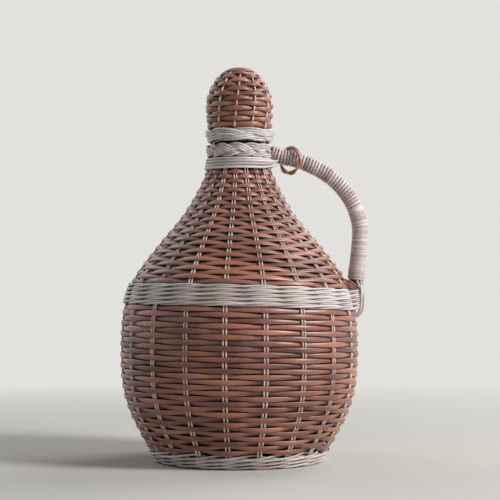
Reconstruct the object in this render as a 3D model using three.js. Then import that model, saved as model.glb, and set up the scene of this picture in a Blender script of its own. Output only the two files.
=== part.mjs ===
// Wicker demijohn: a blown glass bottle in a woven cane jacket, with a cane-wound handle, a loose
// ring on the handle, and a cork stopper under a woven cap.
// Millimetres, +Z up. The origin is the middle of the underside, and the handle points along +X.
import * as THREE from 'three';

// Finishes
const GREEN_GLASS = { color: 0x8fa79a, roughness: 0.1 };
const CORK = { color: 0xb88a5c, roughness: 0.85 };
const BROWN_CANE = { color: 0x96604a, roughness: 0.55 };
const PALE_CANE = { color: 0xe0d3c4, roughness: 0.6 };
const TAN_CANE = { color: 0xb9825f, roughness: 0.6 };

// Jacket: [radius, height] of the line that the stakes follow from the foot to the neck
const STAKE_LINE = [
  [60, 1.7], [66.8, 11], [73.4, 23], [80.7, 38], [85.9, 57], [87.3, 84], [85.3, 113.5],
  [77.8, 135.3], [60.5, 159], [40.8, 183.2], [26.8, 207.7], [22.6, 222], [22.4, 232],
];
const STAKE_PAIRS = 19;
const FIRST_STAKE_DEG = -96.3;
const BACK_STAKE = 12;
const STAKE_TOP_Z = 224.9;
const STAKE_THICK = { foot: 1.5, neck: 1.1 };
const STAKE_SPREAD = { foot: 1.9, neck: 1.35 };

// Weavers: one flat cane that swings over one stake and under the next
const WEAVER_THICK = 1.3;
const WEAVER_CLEARANCE = 0.45;
const ROW_GAP = 0.5;
const ROW_STEP_SHARE = 0.25;
const LOWER_ROWS = 28;
const LOWER_WEAVER_Z = [11.3, 116.6];
const UPPER_ROWS = 27;
const UPPER_WEAVER_Z = [132.1, 215.9];
const ROW_DIP = 5;
const ROW_DIP_POWER = 2.5;

// Wales: level courses in which every cane passes in front of two stakes and behind the third
const WALE_REPEAT = 3;
const WALE_THICK = 1.6;
const WALE_SWING = 2.5;
const WALE_GAP = 0.65;
const FOOT_WALE = { courses: 2, lowestZ: 2.7, rise: 5 };
const MID_WALE = { courses: 3, lowestZ: 117.9, rise: 5.25 };

// Where the middle wale runs over the handle's tip: the stake there, how far past it, and the distance out
const HANDLE_STAKE = 5;
const PAST_HANDLE = 0.17;
const OVER_HANDLE = 90;

// Neck: a plain winding below a plait
const BINDING_TURNS = 3.6;
const BINDING_RADIUS = 0.9;
const BINDING_PITCH = 2.25;
const BINDING_LOWEST_Z = 217.3;
const BINDING_STEPS = 18;
const BINDING_SIDES = 5;
const BINDING_END_DEG = -58;
const BINDING_TAIL = [{ run: 10, rise: 0.3 }, { run: 20, rise: 3.4 }];
const NECK_PLAIT = { radius: 22.7, z: 230.6, repeats: 4, sway: 3.3, depth: 1.8, thick: 1.7, height: 2.4 };

// Glass bottle, a constant gap inside the stakes
const GLASS_GAP = 4;
const GLASS_WALL = 3;
const GLASS_SEGMENTS = 20;
const GLASS_FOOT = [[0, 9.6], [28, 8.6], [47, 5.6], [54, 6.4]];
const LIP_RADIUS = 20;
const LIP_HEIGHT = 5;
const LIP_SLOPE = 1.5;
const LIP_ROUND = 1;
const NECK_TOP_Z = 241;

// Woven base: [radius, height] from the middle of the underside round to the middle of the top
const BASE_OUTLINE = [
  [0, 0], [51, 0], [54, 0.7], [55.6, 2.2], [55.4, 4], [53.5, 5.2], [45, 4.6], [28, 5.2], [0, 5.4],
];
const BASE_SEGMENTS = 24;

// Stopper: [radius, height] of the line that the cap's stakes follow from rim to crown
const CAP_LINE = [[22.8, 247.4], [24, 262], [23.6, 270], [20.9, 278], [15.8, 285.8], [9, 290.8], [4.2, 292]];
const CAP_STAKES = 11;
const CAP_FIRST_STAKE_DEG = -99;
const CAP_LEAN_DEG = 16;
const CAP_STAKE_THICK = 1.4;
const CAP_ROWS = 14;
const CAP_WEAVER_INSET = [0.4, 3.4];
const CAP_PLAIT = { radius: 23.2, z: 242.2, repeats: 2, sway: 2.9, depth: 1.8, thick: 1.7, height: 2.2 };
const CAP_GAP = 3.4;
const PLUG_TOP_RADIUS = 14.5;
const PLUG_TIP_RADIUS = 13.4;
const PLUG_TIP_Z = 215;
const PLUG_CHAMFER = 1.2;
const HEAD_RADIUS = 19;
const SEAT_GAP = 0.3;
const CORK_SEGMENTS = 20;
const PLAIT_STRANDS = 3;
const PLAIT_STEPS = 8;

// Handle: [x, z] of its middle line, from the neck over the bend and down behind the middle wale
const HANDLE_LINE = [
  [26.7, 227.9], [37, 226], [47, 223.3], [67.5, 212.5], [82.4, 196.5], [90, 177], [89.6, 157], [88.2, 138],
  [86.9, 128], [86.7, 119.5],
];
const CORE_RADIUS = 4.2;
const CORE_TIP_RADIUS = 1.6;
const CORE_TIP = 8.5;
const CORE_TAPER = 7;
const CORE_SIDES = 8;
const HANDLE_KNOTS = 3;
const WINDING_TURNS = 65;
const WINDING_STEPS = 6;
const WINDING_THICK = 1.1;
const WINDING_WIDTH = 1.15;
const WINDING_FIT = 0.15;
const WINDING_FROM = 2.5;
const WINDING_TO_TIP = 15.6;
const LASHING_LINE = [[92.9, 133.3], [92.1, 128.5], [93, 121], [92.7, 113.5], [90.2, 107.4]];
const LASHING_RADIUS = 1.05;
const LASHING_SIDES = 6;
const LASHING_KNOTS = 3;

// Ring: an oval of cane that hangs askew on the handle, a little way out from the neck
const RING_AT = 11.7;
const RING_HALF_WIDTH = 11.9;
const RING_HALF_HEIGHT = 9.3;
const RING_CANE_RADIUS = 1.1;
const RING_DROP = 1.3;
const RING_TURN_DEG = -54;
const RING_STEPS = 24;
const RING_SIDES = 5;

const radians = THREE.MathUtils.degToRad;
const mix = THREE.MathUtils.lerp;
const TURN = 2 * Math.PI;
const STAKE_STEP = TURN / STAKE_PAIRS;
const stakeAngle = (index) => radians(FIRST_STAKE_DEG) + index * STAKE_STEP;

// A line in the plane of [across, height], walked by its arc length: a smooth curve through the given
// points, taken as straight from knot to knot, with its tangent turning evenly between them
class OutlineCurve {
  constructor(points, knotsPerSpan) {
    const curve = new THREE.SplineCurve(points.map(([across, height]) => new THREE.Vector2(across, height)));
    const spans = (points.length - 1) * knotsPerSpan;
    this.points = curve.getPoints(spans);
    this.tangents = this.points.map((_, knot) => curve.getTangent(knot / spans));
    this.arcs = [0];
    for (let knot = 1; knot <= spans; knot += 1) {
      this.arcs.push(this.arcs[knot - 1] + this.points[knot].distanceTo(this.points[knot - 1]));
    }
    this.length = this.arcs[spans];
  }

  // The point at an arc length, its tangent along the line and its normal to the right of that
  at(arc) {
    const next = Math.max(this.arcs.findIndex((reached) => reached >= arc), 1);
    const share = (arc - this.arcs[next - 1]) / (this.arcs[next] - this.arcs[next - 1]);
    const point = this.points[next - 1].clone().lerp(this.points[next], share);
    const tangent = this.tangents[next - 1].clone().lerp(this.tangents[next], share).normalize();
    const normal = new THREE.Vector2(tangent.y, -tangent.x);
    return { point, tangent, normal };
  }

  // The knots between two arc lengths, with both ends
  arcsBetween(from, to) {
    return [from, ...this.arcs.filter((arc) => arc > from && arc < to), to];
  }

  // The arc length at which a rising line reaches a height
  arcAtHeight(height) {
    const next = this.points.findIndex((point) => point.y >= height);
    const below = this.points[next - 1].y;
    return mix(this.arcs[next - 1], this.arcs[next], (height - below) / (this.points[next].y - below));
  }
}

const stakeLine = new OutlineCurve(STAKE_LINE, 1);
const capLine = new OutlineCurve(CAP_LINE, 1);
const handleLine = new OutlineCurve(HANDLE_LINE, HANDLE_KNOTS);
const lashingLine = new OutlineCurve(LASHING_LINE, LASHING_KNOTS);

// A point on a surface of revolution, moved out along its normal and up along its line
function onSurface(line, angle, arc, out, along = 0) {
  const { point, tangent, normal } = line.at(arc);
  const spot = point.addScaledVector(normal, out).addScaledVector(tangent, along);
  return new THREE.Vector3(spot.x * Math.cos(angle), spot.x * Math.sin(angle), spot.y);
}

// The signed volume that a closed geometry holds: negative when its faces point in
function signedVolume(positions, index) {
  const corner = (k) => new THREE.Vector3().fromArray(positions, 3 * index[k]);
  let volume = 0;
  for (let k = 0; k < index.length; k += 3) {
    volume += corner(k).dot(corner(k + 1).cross(corner(k + 2))) / 6;
  }
  return volume;
}

// Skins a run of equal rings into one closed solid, with flat ends unless the run closes on itself
function loft(rings, closed = false) {
  const sides = rings[0].length;
  const positions = rings.flat().flatMap((point) => point.toArray());
  const index = [];
  const spans = closed ? rings.length : rings.length - 1;
  for (let span = 0; span < spans; span += 1) {
    const here = span * sides;
    const next = ((span + 1) % rings.length) * sides;
    for (let side = 0; side < sides; side += 1) {
      const other = (side + 1) % sides;
      index.push(here + side, here + other, next + other, here + side, next + other, next + side);
    }
  }
  if (!closed) {
    const last = (rings.length - 1) * sides;
    for (let side = 1; side < sides - 1; side += 1) {
      index.push(0, side + 1, side, last, last + side, last + side + 1);
    }
  }
  if (signedVolume(positions, index) < 0) index.reverse();
  const geometry = new THREE.BufferGeometry();
  geometry.setAttribute('position', new THREE.Float32BufferAttribute(positions, 3));
  geometry.setIndex(index);
  geometry.computeVertexNormals();
  return geometry;
}

// A round section of the given number of sides, in a plane spanned by two unit vectors
function roundRing(centre, across, up, radius, sides) {
  return Array.from({ length: sides }, (_, side) => {
    const turn = (TURN * side) / sides;
    return centre.clone()
      .addScaledVector(across, radius * Math.cos(turn))
      .addScaledVector(up, radius * Math.sin(turn));
  });
}

// A three-sided cane section, [out, along]: flat inside, with its ridge outwards
const ridgeSection = (thick, height) => [[-thick / 2, -height / 2], [thick / 2, 0], [-thick / 2, height / 2]];

// Revolves an outline about +Z
function revolve(outline, segments) {
  const points = outline.map(([radius, height]) => new THREE.Vector2(radius, height));
  const geometry = new THREE.LatheGeometry(points, segments);
  geometry.rotateX(Math.PI / 2);
  return geometry;
}

// Prints the least distance between neighbouring turns of a wound tube, on its section points
function printLeastGap(name, rings, stepsPerTurn) {
  let least = Infinity;
  rings.forEach((ring, index) => {
    for (let other = index + stepsPerTurn - 1; other <= index + stepsPerTurn + 1; other += 1) {
      const neighbour = rings[other] ?? [];
      const gaps = ring.flatMap((here) => neighbour.map((there) => here.distanceTo(there)));
      least = Math.min(least, ...gaps);
    }
  });
  console.log(`${name}: least gap between turns ${least.toFixed(2)} mm`);
}

const object = new THREE.Group();

function addPiece(name, geometry, finish) {
  const material = new THREE.MeshStandardMaterial({ ...finish, metalness: 0 });
  const mesh = new THREE.Mesh(geometry, material);
  mesh.name = name;
  object.add(mesh);
}

// Stakes

const stakeTop = stakeLine.arcAtHeight(STAKE_TOP_Z);
const stakeThick = (arc) => mix(STAKE_THICK.foot, STAKE_THICK.neck, arc / stakeTop);
const stakeSpread = (arc) => mix(STAKE_SPREAD.foot, STAKE_SPREAD.neck, arc / stakeTop);

// One pair: a cane that comes down from the neck, turns at the foot and goes up beside itself
function stakePair(angle) {
  const eastward = new THREE.Vector3(-Math.sin(angle), Math.cos(angle), 0);
  const section = (arc, aside, heading) => {
    const centre = onSurface(stakeLine, angle, arc, 0).addScaledVector(eastward, aside);
    const outward = onSurface(stakeLine, angle, arc, 1).sub(onSurface(stakeLine, angle, arc, 0));
    const sideways = outward.clone().cross(heading);
    return ridgeSection(stakeThick(arc), stakeThick(arc)).map(([out, across]) => centre.clone()
      .addScaledVector(outward, out)
      .addScaledVector(sideways, across));
  };
  const upAt = (arc) => onSurface(stakeLine, angle, arc, 0, 1).sub(onSurface(stakeLine, angle, arc, 0));
  const bend = STAKE_SPREAD.foot / 2 + STAKE_THICK.foot / 2;
  const arcs = stakeLine.arcsBetween(bend, stakeTop);
  const upLeg = arcs.map((arc) => section(arc, stakeSpread(arc) / 2, upAt(arc)));
  const downLeg = arcs.map((arc) => section(arc, -stakeSpread(arc) / 2, upAt(arc).negate())).reverse();
  const turn = section(STAKE_THICK.foot / 2, 0, eastward);
  return loft([...downLeg, turn, ...upLeg]);
}

for (let pair = 0; pair < STAKE_PAIRS; pair += 1) {
  const label = String(pair + 1).padStart(2, '0');
  addPiece(`stake_pair_${label}`, stakePair(stakeAngle(pair)), PALE_CANE);
}

// Weavers

// The height of a weaver in rows after some turns: level, then a step up over the last part of each turn
function rowsClimbed(turns) {
  const row = Math.floor(turns);
  return row + Math.max(0, (turns - row - 1) / ROW_STEP_SHARE + 1);
}

// The arc length of a row at an angle: the rows sink towards the handle, most of all at mid height
function dipped(angle, arc) {
  const nearHandle = ((1 + Math.cos(angle)) / 2) ** ROW_DIP_POWER;
  return arc - ROW_DIP * nearHandle * Math.sin((Math.PI * arc) / stakeLine.length) ** 2;
}

// One cane in level rows, outside every second stake and inside the others
function weaver(line, { from, to, rows, stakes, firstAngle, swingAt, lean = 0, arcAt = (_, arc) => arc }) {
  const lastCrossing = Math.floor((rows - ROW_STEP_SHARE) * stakes);
  const pitch = (to - from) / rows;
  const section = ridgeSection(WEAVER_THICK, pitch - ROW_GAP);
  const rings = [];
  for (let crossing = 0; crossing <= lastCrossing; crossing += 1) {
    const level = from + pitch * (0.5 + rowsClimbed(crossing / stakes));
    const angle = firstAngle + (crossing * TURN) / stakes + (lean * level) / line.length;
    const arc = arcAt(angle, level);
    const side = crossing % 2 ? 1 : -1;
    const swing = side * swingAt(arc);
    rings.push(section.map(([out, along]) => onSurface(line, angle, arc, swing + out, along)));
  }
  return loft(rings);
}

// How far a weaver swings from the stakes' line to clear a stake of a given size on its way past
function swingPast(thick, width, spacing) {
  return (thick / 2 + WEAVER_CLEARANCE + WEAVER_THICK / 2) / (1 - width / spacing);
}

function jacketSwing(arc) {
  const spacing = STAKE_STEP * stakeLine.at(arc).point.x;
  return swingPast(stakeThick(arc), stakeThick(arc) + stakeSpread(arc), spacing);
}

function jacketWeaver([fromZ, toZ], rows) {
  const from = stakeLine.arcAtHeight(fromZ);
  const to = stakeLine.arcAtHeight(toZ);
  const firstAngle = stakeAngle(BACK_STAKE);
  const stakes = STAKE_PAIRS;
  return weaver(stakeLine, { from, to, rows, stakes, firstAngle, swingAt: jacketSwing, arcAt: dipped });
}

addPiece('lower_weaver', jacketWeaver(LOWER_WEAVER_Z, LOWER_ROWS), BROWN_CANE);
addPiece('upper_weaver', jacketWeaver(UPPER_WEAVER_Z, UPPER_ROWS), BROWN_CANE);

// Wales

// Over three stakes a wale's cane leaves low from behind one, climbs across the next two and
// goes back in high
const WALE_WEAVE = [
  { stake: 0.25, side: -1, lift: -1 },
  { stake: 1, side: 1, lift: -1 },
  { stake: 2, side: 1, lift: 1 },
  { stake: 2.75, side: -1, lift: 1 },
];

// One course: as the stakes don't divide by three, the cane closes on itself after three rounds.
// Where it passes outside the handle's stake, it may lie flat at a distance from the axis instead
function waleCourse(lowestArc, rise, overHandle) {
  const section = ridgeSection(WALE_THICK, rise / 2 - WALE_GAP);
  const ringAt = (stake, side, lift, distance) => {
    const angle = stakeAngle(stake);
    const arc = dipped(angle, lowestArc + ((1 + lift) * rise) / 4);
    const swing = side * WALE_SWING;
    const { point, normal } = stakeLine.at(arc);
    const further = distance ? distance - point.x - normal.x * swing : 0;
    const shift = new THREE.Vector3(Math.cos(angle), Math.sin(angle), 0).multiplyScalar(further);
    return section.map(([out, along]) => onSurface(stakeLine, angle, arc, swing + out, along).add(shift));
  };
  const rings = [];
  for (let repeat = 0; repeat < STAKE_PAIRS; repeat += 1) {
    for (const { stake, side, lift } of WALE_WEAVE) {
      const place = repeat * WALE_REPEAT + stake;
      if (overHandle && side > 0 && place % STAKE_PAIRS === HANDLE_STAKE) {
        rings.push(ringAt(place, side, lift, overHandle));
        rings.push(ringAt(place + PAST_HANDLE, side, lift, overHandle));
      } else {
        rings.push(ringAt(place, side, lift));
      }
    }
  }
  return loft(rings, true);
}

function addWale(name, { courses, lowestZ, rise }, overHandle) {
  const lowestArc = stakeLine.arcAtHeight(lowestZ);
  for (let course = 0; course < courses; course += 1) {
    addPiece(`${name}_${course + 1}`, waleCourse(lowestArc + course * rise, rise, overHandle), PALE_CANE);
  }
}

addWale('foot_wale', FOOT_WALE);
addWale('mid_wale', MID_WALE, OVER_HANDLE);

// Neck binding

// A plain winding round the stakes at the neck, down from row to row behind the handle. Its last end
// leaves the lowest row, runs straight off and rises to a cut tail
function neckBinding() {
  const steps = Math.round(BINDING_TURNS * BINDING_STEPS);
  const endAngle = radians(BINDING_END_DEG);
  const lowestArc = stakeLine.arcAtHeight(BINDING_LOWEST_Z);
  const out = STAKE_THICK.neck / 2 + WEAVER_CLEARANCE + BINDING_RADIUS;
  const rings = [];
  for (let step = 0; step <= steps; step += 1) {
    const angle = endAngle - ((steps - step) * TURN) / BINDING_STEPS;
    const row = Math.floor(BINDING_TURNS) - rowsClimbed(step / BINDING_STEPS);
    const arc = lowestArc + BINDING_PITCH * row;
    const centre = onSurface(stakeLine, angle, arc, out);
    const outward = new THREE.Vector3(Math.cos(angle), Math.sin(angle), 0);
    rings.push(roundRing(centre, outward, new THREE.Vector3(0, 0, 1), BINDING_RADIUS, BINDING_SIDES));
  }
  printLeastGap('neck_binding', rings, BINDING_STEPS);
  const onward = new THREE.Vector3(-Math.sin(endAngle), Math.cos(endAngle), 0);
  const tail = BINDING_TAIL.map(({ run, rise }) => onward.clone().multiplyScalar(run).setZ(rise));
  const end = rings.at(-1);
  rings.push(...tail.map((offset) => end.map((point) => point.clone().add(offset))));
  return loft(rings);
}

addPiece('neck_binding', neckBinding(), PALE_CANE);

// Plaits

// One strand of a three-strand plait that runs round the axis: it sways up and down as it weaves in and out
function plaitStrand(strand, { radius, z, repeats, sway, depth, thick, height }) {
  const steps = repeats * PLAIT_STEPS;
  const rings = Array.from({ length: steps }, (_, step) => {
    const angle = (TURN * step) / steps;
    const phase = repeats * angle + (TURN * strand) / PLAIT_STRANDS;
    const reach = radius - depth * Math.sin(2 * phase);
    const level = z + sway * Math.sin(phase);
    return ridgeSection(thick, height).map(([out, up]) => {
      const distance = reach + out;
      return new THREE.Vector3(distance * Math.cos(angle), distance * Math.sin(angle), level + up);
    });
  });
  return loft(rings, true);
}

for (let strand = 0; strand < PLAIT_STRANDS; strand += 1) {
  addPiece(`neck_plait_${strand + 1}`, plaitStrand(strand, NECK_PLAIT), PALE_CANE);
  addPiece(`cap_plait_${strand + 1}`, plaitStrand(strand, CAP_PLAIT), PALE_CANE);
}

// Glass bottle and base

// The bottle's body and neck, a given distance inside the stakes, as [radius, height] points
function bottleWall(inset) {
  return stakeLine.arcs.slice(1).map((arc) => {
    const { point, normal } = stakeLine.at(arc);
    return point.addScaledVector(normal, -inset).toArray();
  });
}

function glassBottle() {
  const outside = bottleWall(GLASS_GAP);
  const inside = bottleWall(GLASS_GAP + GLASS_WALL).reverse();
  const neckRadius = outside.at(-1)[0];
  const boreRadius = inside[0][0];
  const lip = [
    [neckRadius, NECK_TOP_Z - LIP_HEIGHT],
    [LIP_RADIUS, NECK_TOP_Z - LIP_HEIGHT + LIP_SLOPE],
    [LIP_RADIUS, NECK_TOP_Z - LIP_ROUND],
    [(LIP_RADIUS + boreRadius) / 2, NECK_TOP_Z],
    [boreRadius, NECK_TOP_Z - LIP_ROUND],
  ];
  const floor = GLASS_FOOT.map(([radius, height]) => [radius, height + GLASS_WALL]).reverse();
  return revolve([...GLASS_FOOT, ...outside, ...lip, ...inside, ...floor], GLASS_SEGMENTS);
}

addPiece('glass_bottle', glassBottle(), GREEN_GLASS);
addPiece('woven_base', revolve(BASE_OUTLINE, BASE_SEGMENTS), BROWN_CANE);

// Stopper

function corkStopper() {
  const seatZ = NECK_TOP_Z + SEAT_GAP;
  const head = capLine.arcs.map((arc) => {
    const { point, normal } = capLine.at(arc);
    return point.addScaledVector(normal, -CAP_GAP).toArray();
  });
  const crownZ = head.at(-1)[1];
  const outline = [
    [0, PLUG_TIP_Z],
    [PLUG_TIP_RADIUS - PLUG_CHAMFER, PLUG_TIP_Z],
    [PLUG_TIP_RADIUS, PLUG_TIP_Z + PLUG_CHAMFER],
    [PLUG_TOP_RADIUS, seatZ],
    [HEAD_RADIUS, seatZ],
    ...head,
    [0, crownZ],
  ];
  return revolve(outline, CORK_SEGMENTS);
}

// A stake that leans round the cap a little on its way up
function capStake(footAngle) {
  const section = ridgeSection(CAP_STAKE_THICK, CAP_STAKE_THICK);
  const rings = capLine.arcs.map((arc) => {
    const angle = footAngle + (radians(CAP_LEAN_DEG) * arc) / capLine.length;
    const eastward = new THREE.Vector3(-Math.sin(angle), Math.cos(angle), 0);
    return section.map(([out, aside]) => (
      onSurface(capLine, angle, arc, out).addScaledVector(eastward, aside)
    ));
  });
  return loft(rings);
}

function capSwing(arc) {
  const spacing = (TURN * capLine.at(arc).point.x) / CAP_STAKES;
  return swingPast(CAP_STAKE_THICK, CAP_STAKE_THICK, spacing);
}

addPiece('cork_stopper', corkStopper(), CORK);
for (let stake = 0; stake < CAP_STAKES; stake += 1) {
  const label = String(stake + 1).padStart(2, '0');
  const angle = radians(CAP_FIRST_STAKE_DEG) + (stake * TURN) / CAP_STAKES;
  addPiece(`cap_stake_${label}`, capStake(angle), PALE_CANE);
}
addPiece('cap_weaver', weaver(capLine, {
  from: CAP_WEAVER_INSET[0],
  to: capLine.length - CAP_WEAVER_INSET[1],
  rows: CAP_ROWS,
  stakes: CAP_STAKES,
  firstAngle: radians(CAP_FIRST_STAKE_DEG) + Math.PI - Math.PI / CAP_STAKES,
  swingAt: capSwing,
  lean: radians(CAP_LEAN_DEG),
}), BROWN_CANE);

// Handle

// The handle's middle line in space at an arc length, with unit vectors across it
function onHandle(line, arc) {
  const { point, tangent, normal } = line.at(arc);
  return {
    centre: new THREE.Vector3(point.x, 0, point.y),
    tangent: new THREE.Vector3(tangent.x, 0, tangent.y),
    inward: new THREE.Vector3(normal.x, 0, normal.y),
    aside: new THREE.Vector3(0, 1, 0),
  };
}

function handleCore() {
  const rings = handleLine.arcs.map((arc) => {
    const { centre, inward, aside } = onHandle(handleLine, arc);
    const taper = THREE.MathUtils.clamp((handleLine.length - arc - CORE_TIP) / CORE_TAPER, 0, 1);
    return roundRing(centre, inward, aside, mix(CORE_TIP_RADIUS, CORE_RADIUS, taper), CORE_SIDES);
  });
  return loft(rings);
}

// A thin cane wound along the core from the neck to the start of its taper
function handleWinding() {
  const section = ridgeSection(WINDING_THICK, WINDING_WIDTH);
  const radius = (CORE_RADIUS + WINDING_FIT) / Math.cos(Math.PI / WINDING_STEPS) + WINDING_THICK / 2;
  const steps = WINDING_TURNS * WINDING_STEPS;
  const rings = Array.from({ length: steps + 1 }, (_, step) => {
    const arc = mix(WINDING_FROM, handleLine.length - WINDING_TO_TIP, step / steps);
    const { centre, tangent, inward, aside } = onHandle(handleLine, arc);
    const turn = (TURN * step) / WINDING_STEPS;
    const outward = inward.multiplyScalar(Math.cos(turn)).addScaledVector(aside, Math.sin(turn));
    return section.map(([out, along]) => centre.clone()
      .addScaledVector(outward, radius + out)
      .addScaledVector(tangent, along));
  });
  printLeastGap('handle_winding', rings, WINDING_STEPS);
  return loft(rings);
}

function handleLashing() {
  const rings = lashingLine.arcs.map((arc) => {
    const { centre, inward, aside } = onHandle(lashingLine, arc);
    return roundRing(centre, inward, aside, LASHING_RADIUS, LASHING_SIDES);
  });
  return loft(rings);
}

function handleRing() {
  const { centre } = onHandle(handleLine, RING_AT);
  centre.z -= RING_DROP;
  const wide = new THREE.Vector3(Math.cos(radians(RING_TURN_DEG)), Math.sin(radians(RING_TURN_DEG)), 0);
  const up = new THREE.Vector3(0, 0, 1);
  const through = wide.clone().cross(up);
  const rings = Array.from({ length: RING_STEPS }, (_, step) => {
    const turn = (TURN * step) / RING_STEPS;
    const middle = centre.clone()
      .addScaledVector(wide, RING_HALF_WIDTH * Math.cos(turn))
      .addScaledVector(up, RING_HALF_HEIGHT * Math.sin(turn));
    const outward = middle.clone().sub(centre).normalize();
    return roundRing(middle, outward, through, RING_CANE_RADIUS, RING_SIDES);
  });
  return loft(rings, true);
}

addPiece('handle_core', handleCore(), BROWN_CANE);
addPiece('handle_winding', handleWinding(), PALE_CANE);
addPiece('handle_lashing', handleLashing(), PALE_CANE);
addPiece('handle_ring', handleRing(), TAN_CANE);

export default object;
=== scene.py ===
"""Looks of the wicker demijohn: canes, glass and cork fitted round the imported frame."""
import math
from bisect import bisect_left
from dataclasses import dataclass

import bmesh
import bpy
from bpy.props import FloatProperty, FloatVectorProperty, IntProperty, PointerProperty
from mathutils import Color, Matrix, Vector, noise
from mathutils.geometry import interpolate_bezier


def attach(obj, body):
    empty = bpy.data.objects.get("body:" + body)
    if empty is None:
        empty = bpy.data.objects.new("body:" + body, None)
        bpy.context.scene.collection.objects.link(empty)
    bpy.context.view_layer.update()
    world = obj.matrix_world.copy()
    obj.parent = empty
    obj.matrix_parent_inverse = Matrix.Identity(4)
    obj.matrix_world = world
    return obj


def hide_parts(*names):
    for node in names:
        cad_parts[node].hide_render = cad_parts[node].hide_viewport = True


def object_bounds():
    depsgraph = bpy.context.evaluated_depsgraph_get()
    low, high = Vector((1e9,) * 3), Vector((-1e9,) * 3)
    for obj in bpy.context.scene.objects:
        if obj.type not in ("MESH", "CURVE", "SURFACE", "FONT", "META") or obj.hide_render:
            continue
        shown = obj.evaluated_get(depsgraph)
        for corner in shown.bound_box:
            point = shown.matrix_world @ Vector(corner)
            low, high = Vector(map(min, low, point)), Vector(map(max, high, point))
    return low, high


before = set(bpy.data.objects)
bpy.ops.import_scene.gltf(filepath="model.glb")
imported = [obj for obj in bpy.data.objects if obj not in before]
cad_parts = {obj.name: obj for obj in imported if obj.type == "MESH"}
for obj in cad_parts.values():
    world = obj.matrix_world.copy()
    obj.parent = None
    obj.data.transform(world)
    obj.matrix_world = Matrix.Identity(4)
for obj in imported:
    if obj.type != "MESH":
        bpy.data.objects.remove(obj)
CAD_LOW, CAD_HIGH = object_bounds()

bl_info = {
    "name": "Wicker Demijohn",
    "version": (1, 0, 0),
    "blender": (4, 5, 0),
    "location": "View3D > Sidebar > Demijohn",
    "description": "Builds the canes, glass and cork of a wicker demijohn round its packed frame",
    "category": "Object",
}

MM = 0.001
TURN = 2 * math.pi
MERGE_DISTANCE = 1e-6
UV_MAP = "UVMap"

# Lines that the canes follow, as [across, height] in millimetres
JACKET_LINE = (
    (60, 1.7), (66.8, 11), (73.4, 23), (80.7, 38), (85.9, 57), (87.3, 84), (85.3, 113.5),
    (77.8, 135.3), (60.5, 159), (40.8, 183.2), (26.8, 207.7), (22.6, 222), (22.4, 232),
)
CAP_LINE = (
    (22.8, 247.4), (24, 262), (23.6, 270), (20.9, 278), (15.8, 285.8), (9, 290.8), (4.2, 292),
    (0.5, 292.2),
)
BASE_LINE = ((7, 2.7), (20, 2.6), (36, 2.5), (53, 2.4))
HANDLE_LINE = (
    (23.5, 229.8), (26.7, 228.8), (31, 227.2), (37, 226), (47, 223.3), (67.5, 212.5),
    (82.4, 196.5), (90, 177), (89.6, 157), (87.8, 138), (86.8, 128), (86.7, 119.5),
)
LINE_STEPS = 12
# The handles of a smooth curve reach this share of the way from the point before to the point after
CURVE_PULL = 1 / 6

# Outlines of the turned pieces, as [radius, height] in millimetres
GLASS_FOOT = ((0, 9.6), (28, 8.6), (47, 5.6), (54, 6.4))
GLASS_LIP = (
    (18.4, 236), (19.3, 236.6), (19.9, 237.8), (20, 239.3), (19.3, 240.6), (18, 241), (16.4, 240.7),
    (15.4, 239.6),
)
CORK_PLUG = ((0, 215), (12.2, 215), (13, 215.4), (13.4, 216.2), (14.5, 241.3), (18.4, 241.3), (19.2, 242.2))
# How far inside the canes' lines the glass and the cork lie, and the heights from which they follow them
GLASS_INSET = 4 * MM
GLASS_SIDE_FROM_Z = 11 * MM
CORK_INSET = 3.4 * MM
CORK_HEAD_FROM_Z = 248 * MM
GLASS_WALL = 3 * MM
GLASS_FOOT_STEPS = 6
LATHE_STEPS = 96


def paint(red, green, blue):
    """A colour in display values from 0 to 255, as Blender's linear ones."""
    return tuple(Color((red / 255, green / 255, blue / 255)).from_srgb_to_scene_linear())


def count_prop(name, description, count):
    return IntProperty(name=name, description=description, default=count, min=1)


def length_prop(name, description, millimetres):
    return FloatProperty(name=name, description=description, default=millimetres * MM, min=0, unit="LENGTH")


def colour_prop(name, description, *rgb):
    return FloatVectorProperty(name=name, description=description, default=paint(*rgb), subtype="COLOR",
                               size=3, min=0, max=1)


class DemijohnJacket(bpy.types.PropertyGroup):
    """Counts and sizes of the canes round the bottle"""
    stakes: count_prop("Stake pairs", "Pairs of upright canes round the bottle", 19)
    first_stake: FloatProperty(name="First stake", description="Direction of the first stake pair",
                               default=math.radians(-96.3), subtype="ANGLE")
    stake_thick: length_prop("Stake cane", "Thickness of one upright cane at the foot", 1.4)
    stake_spread: length_prop("Stake spread", "Distance between the two canes of a pair at the foot", 2.45)
    weaver_thick: length_prop("Weaver thickness", "Thickness of the brown weaving cane", 1.25)
    lower_rows: count_prop("Lower rows", "Brown rows below the middle band", 28)
    upper_rows: count_prop("Upper rows", "Brown rows above the middle band", 27)
    wale_thick: length_prop("Band cane", "Thickness of the pale canes in the bands", 1.55)
    wale_swing: length_prop("Band swing", "How far the band's canes swing in and out past the stakes", 2.0)


class DemijohnNeck(bpy.types.PropertyGroup):
    """Counts and sizes of the canes bound and plaited round the neck"""
    binding_rows: count_prop("Binding rows", "Rows of pale cane round the neck", 4)
    binding_thick: length_prop("Binding cane", "Thickness of the cane bound round the neck", 2.05)
    plait_canes: count_prop("Canes in a plait strand", "Thin canes side by side in a strand", 3)
    plait_thick: length_prop("Plait cane", "Thickness of one thin cane in a plait", 1.75)


class DemijohnStopper(bpy.types.PropertyGroup):
    """Counts and sizes of the canes round the cap"""
    stakes: count_prop("Cap stakes", "Upright canes round the cap", 11)
    stake_thick: length_prop("Cap stake cane", "Thickness of an upright cane of the cap", 1.35)
    rows: count_prop("Cap rows", "Brown rows round the cap", 15)


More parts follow.
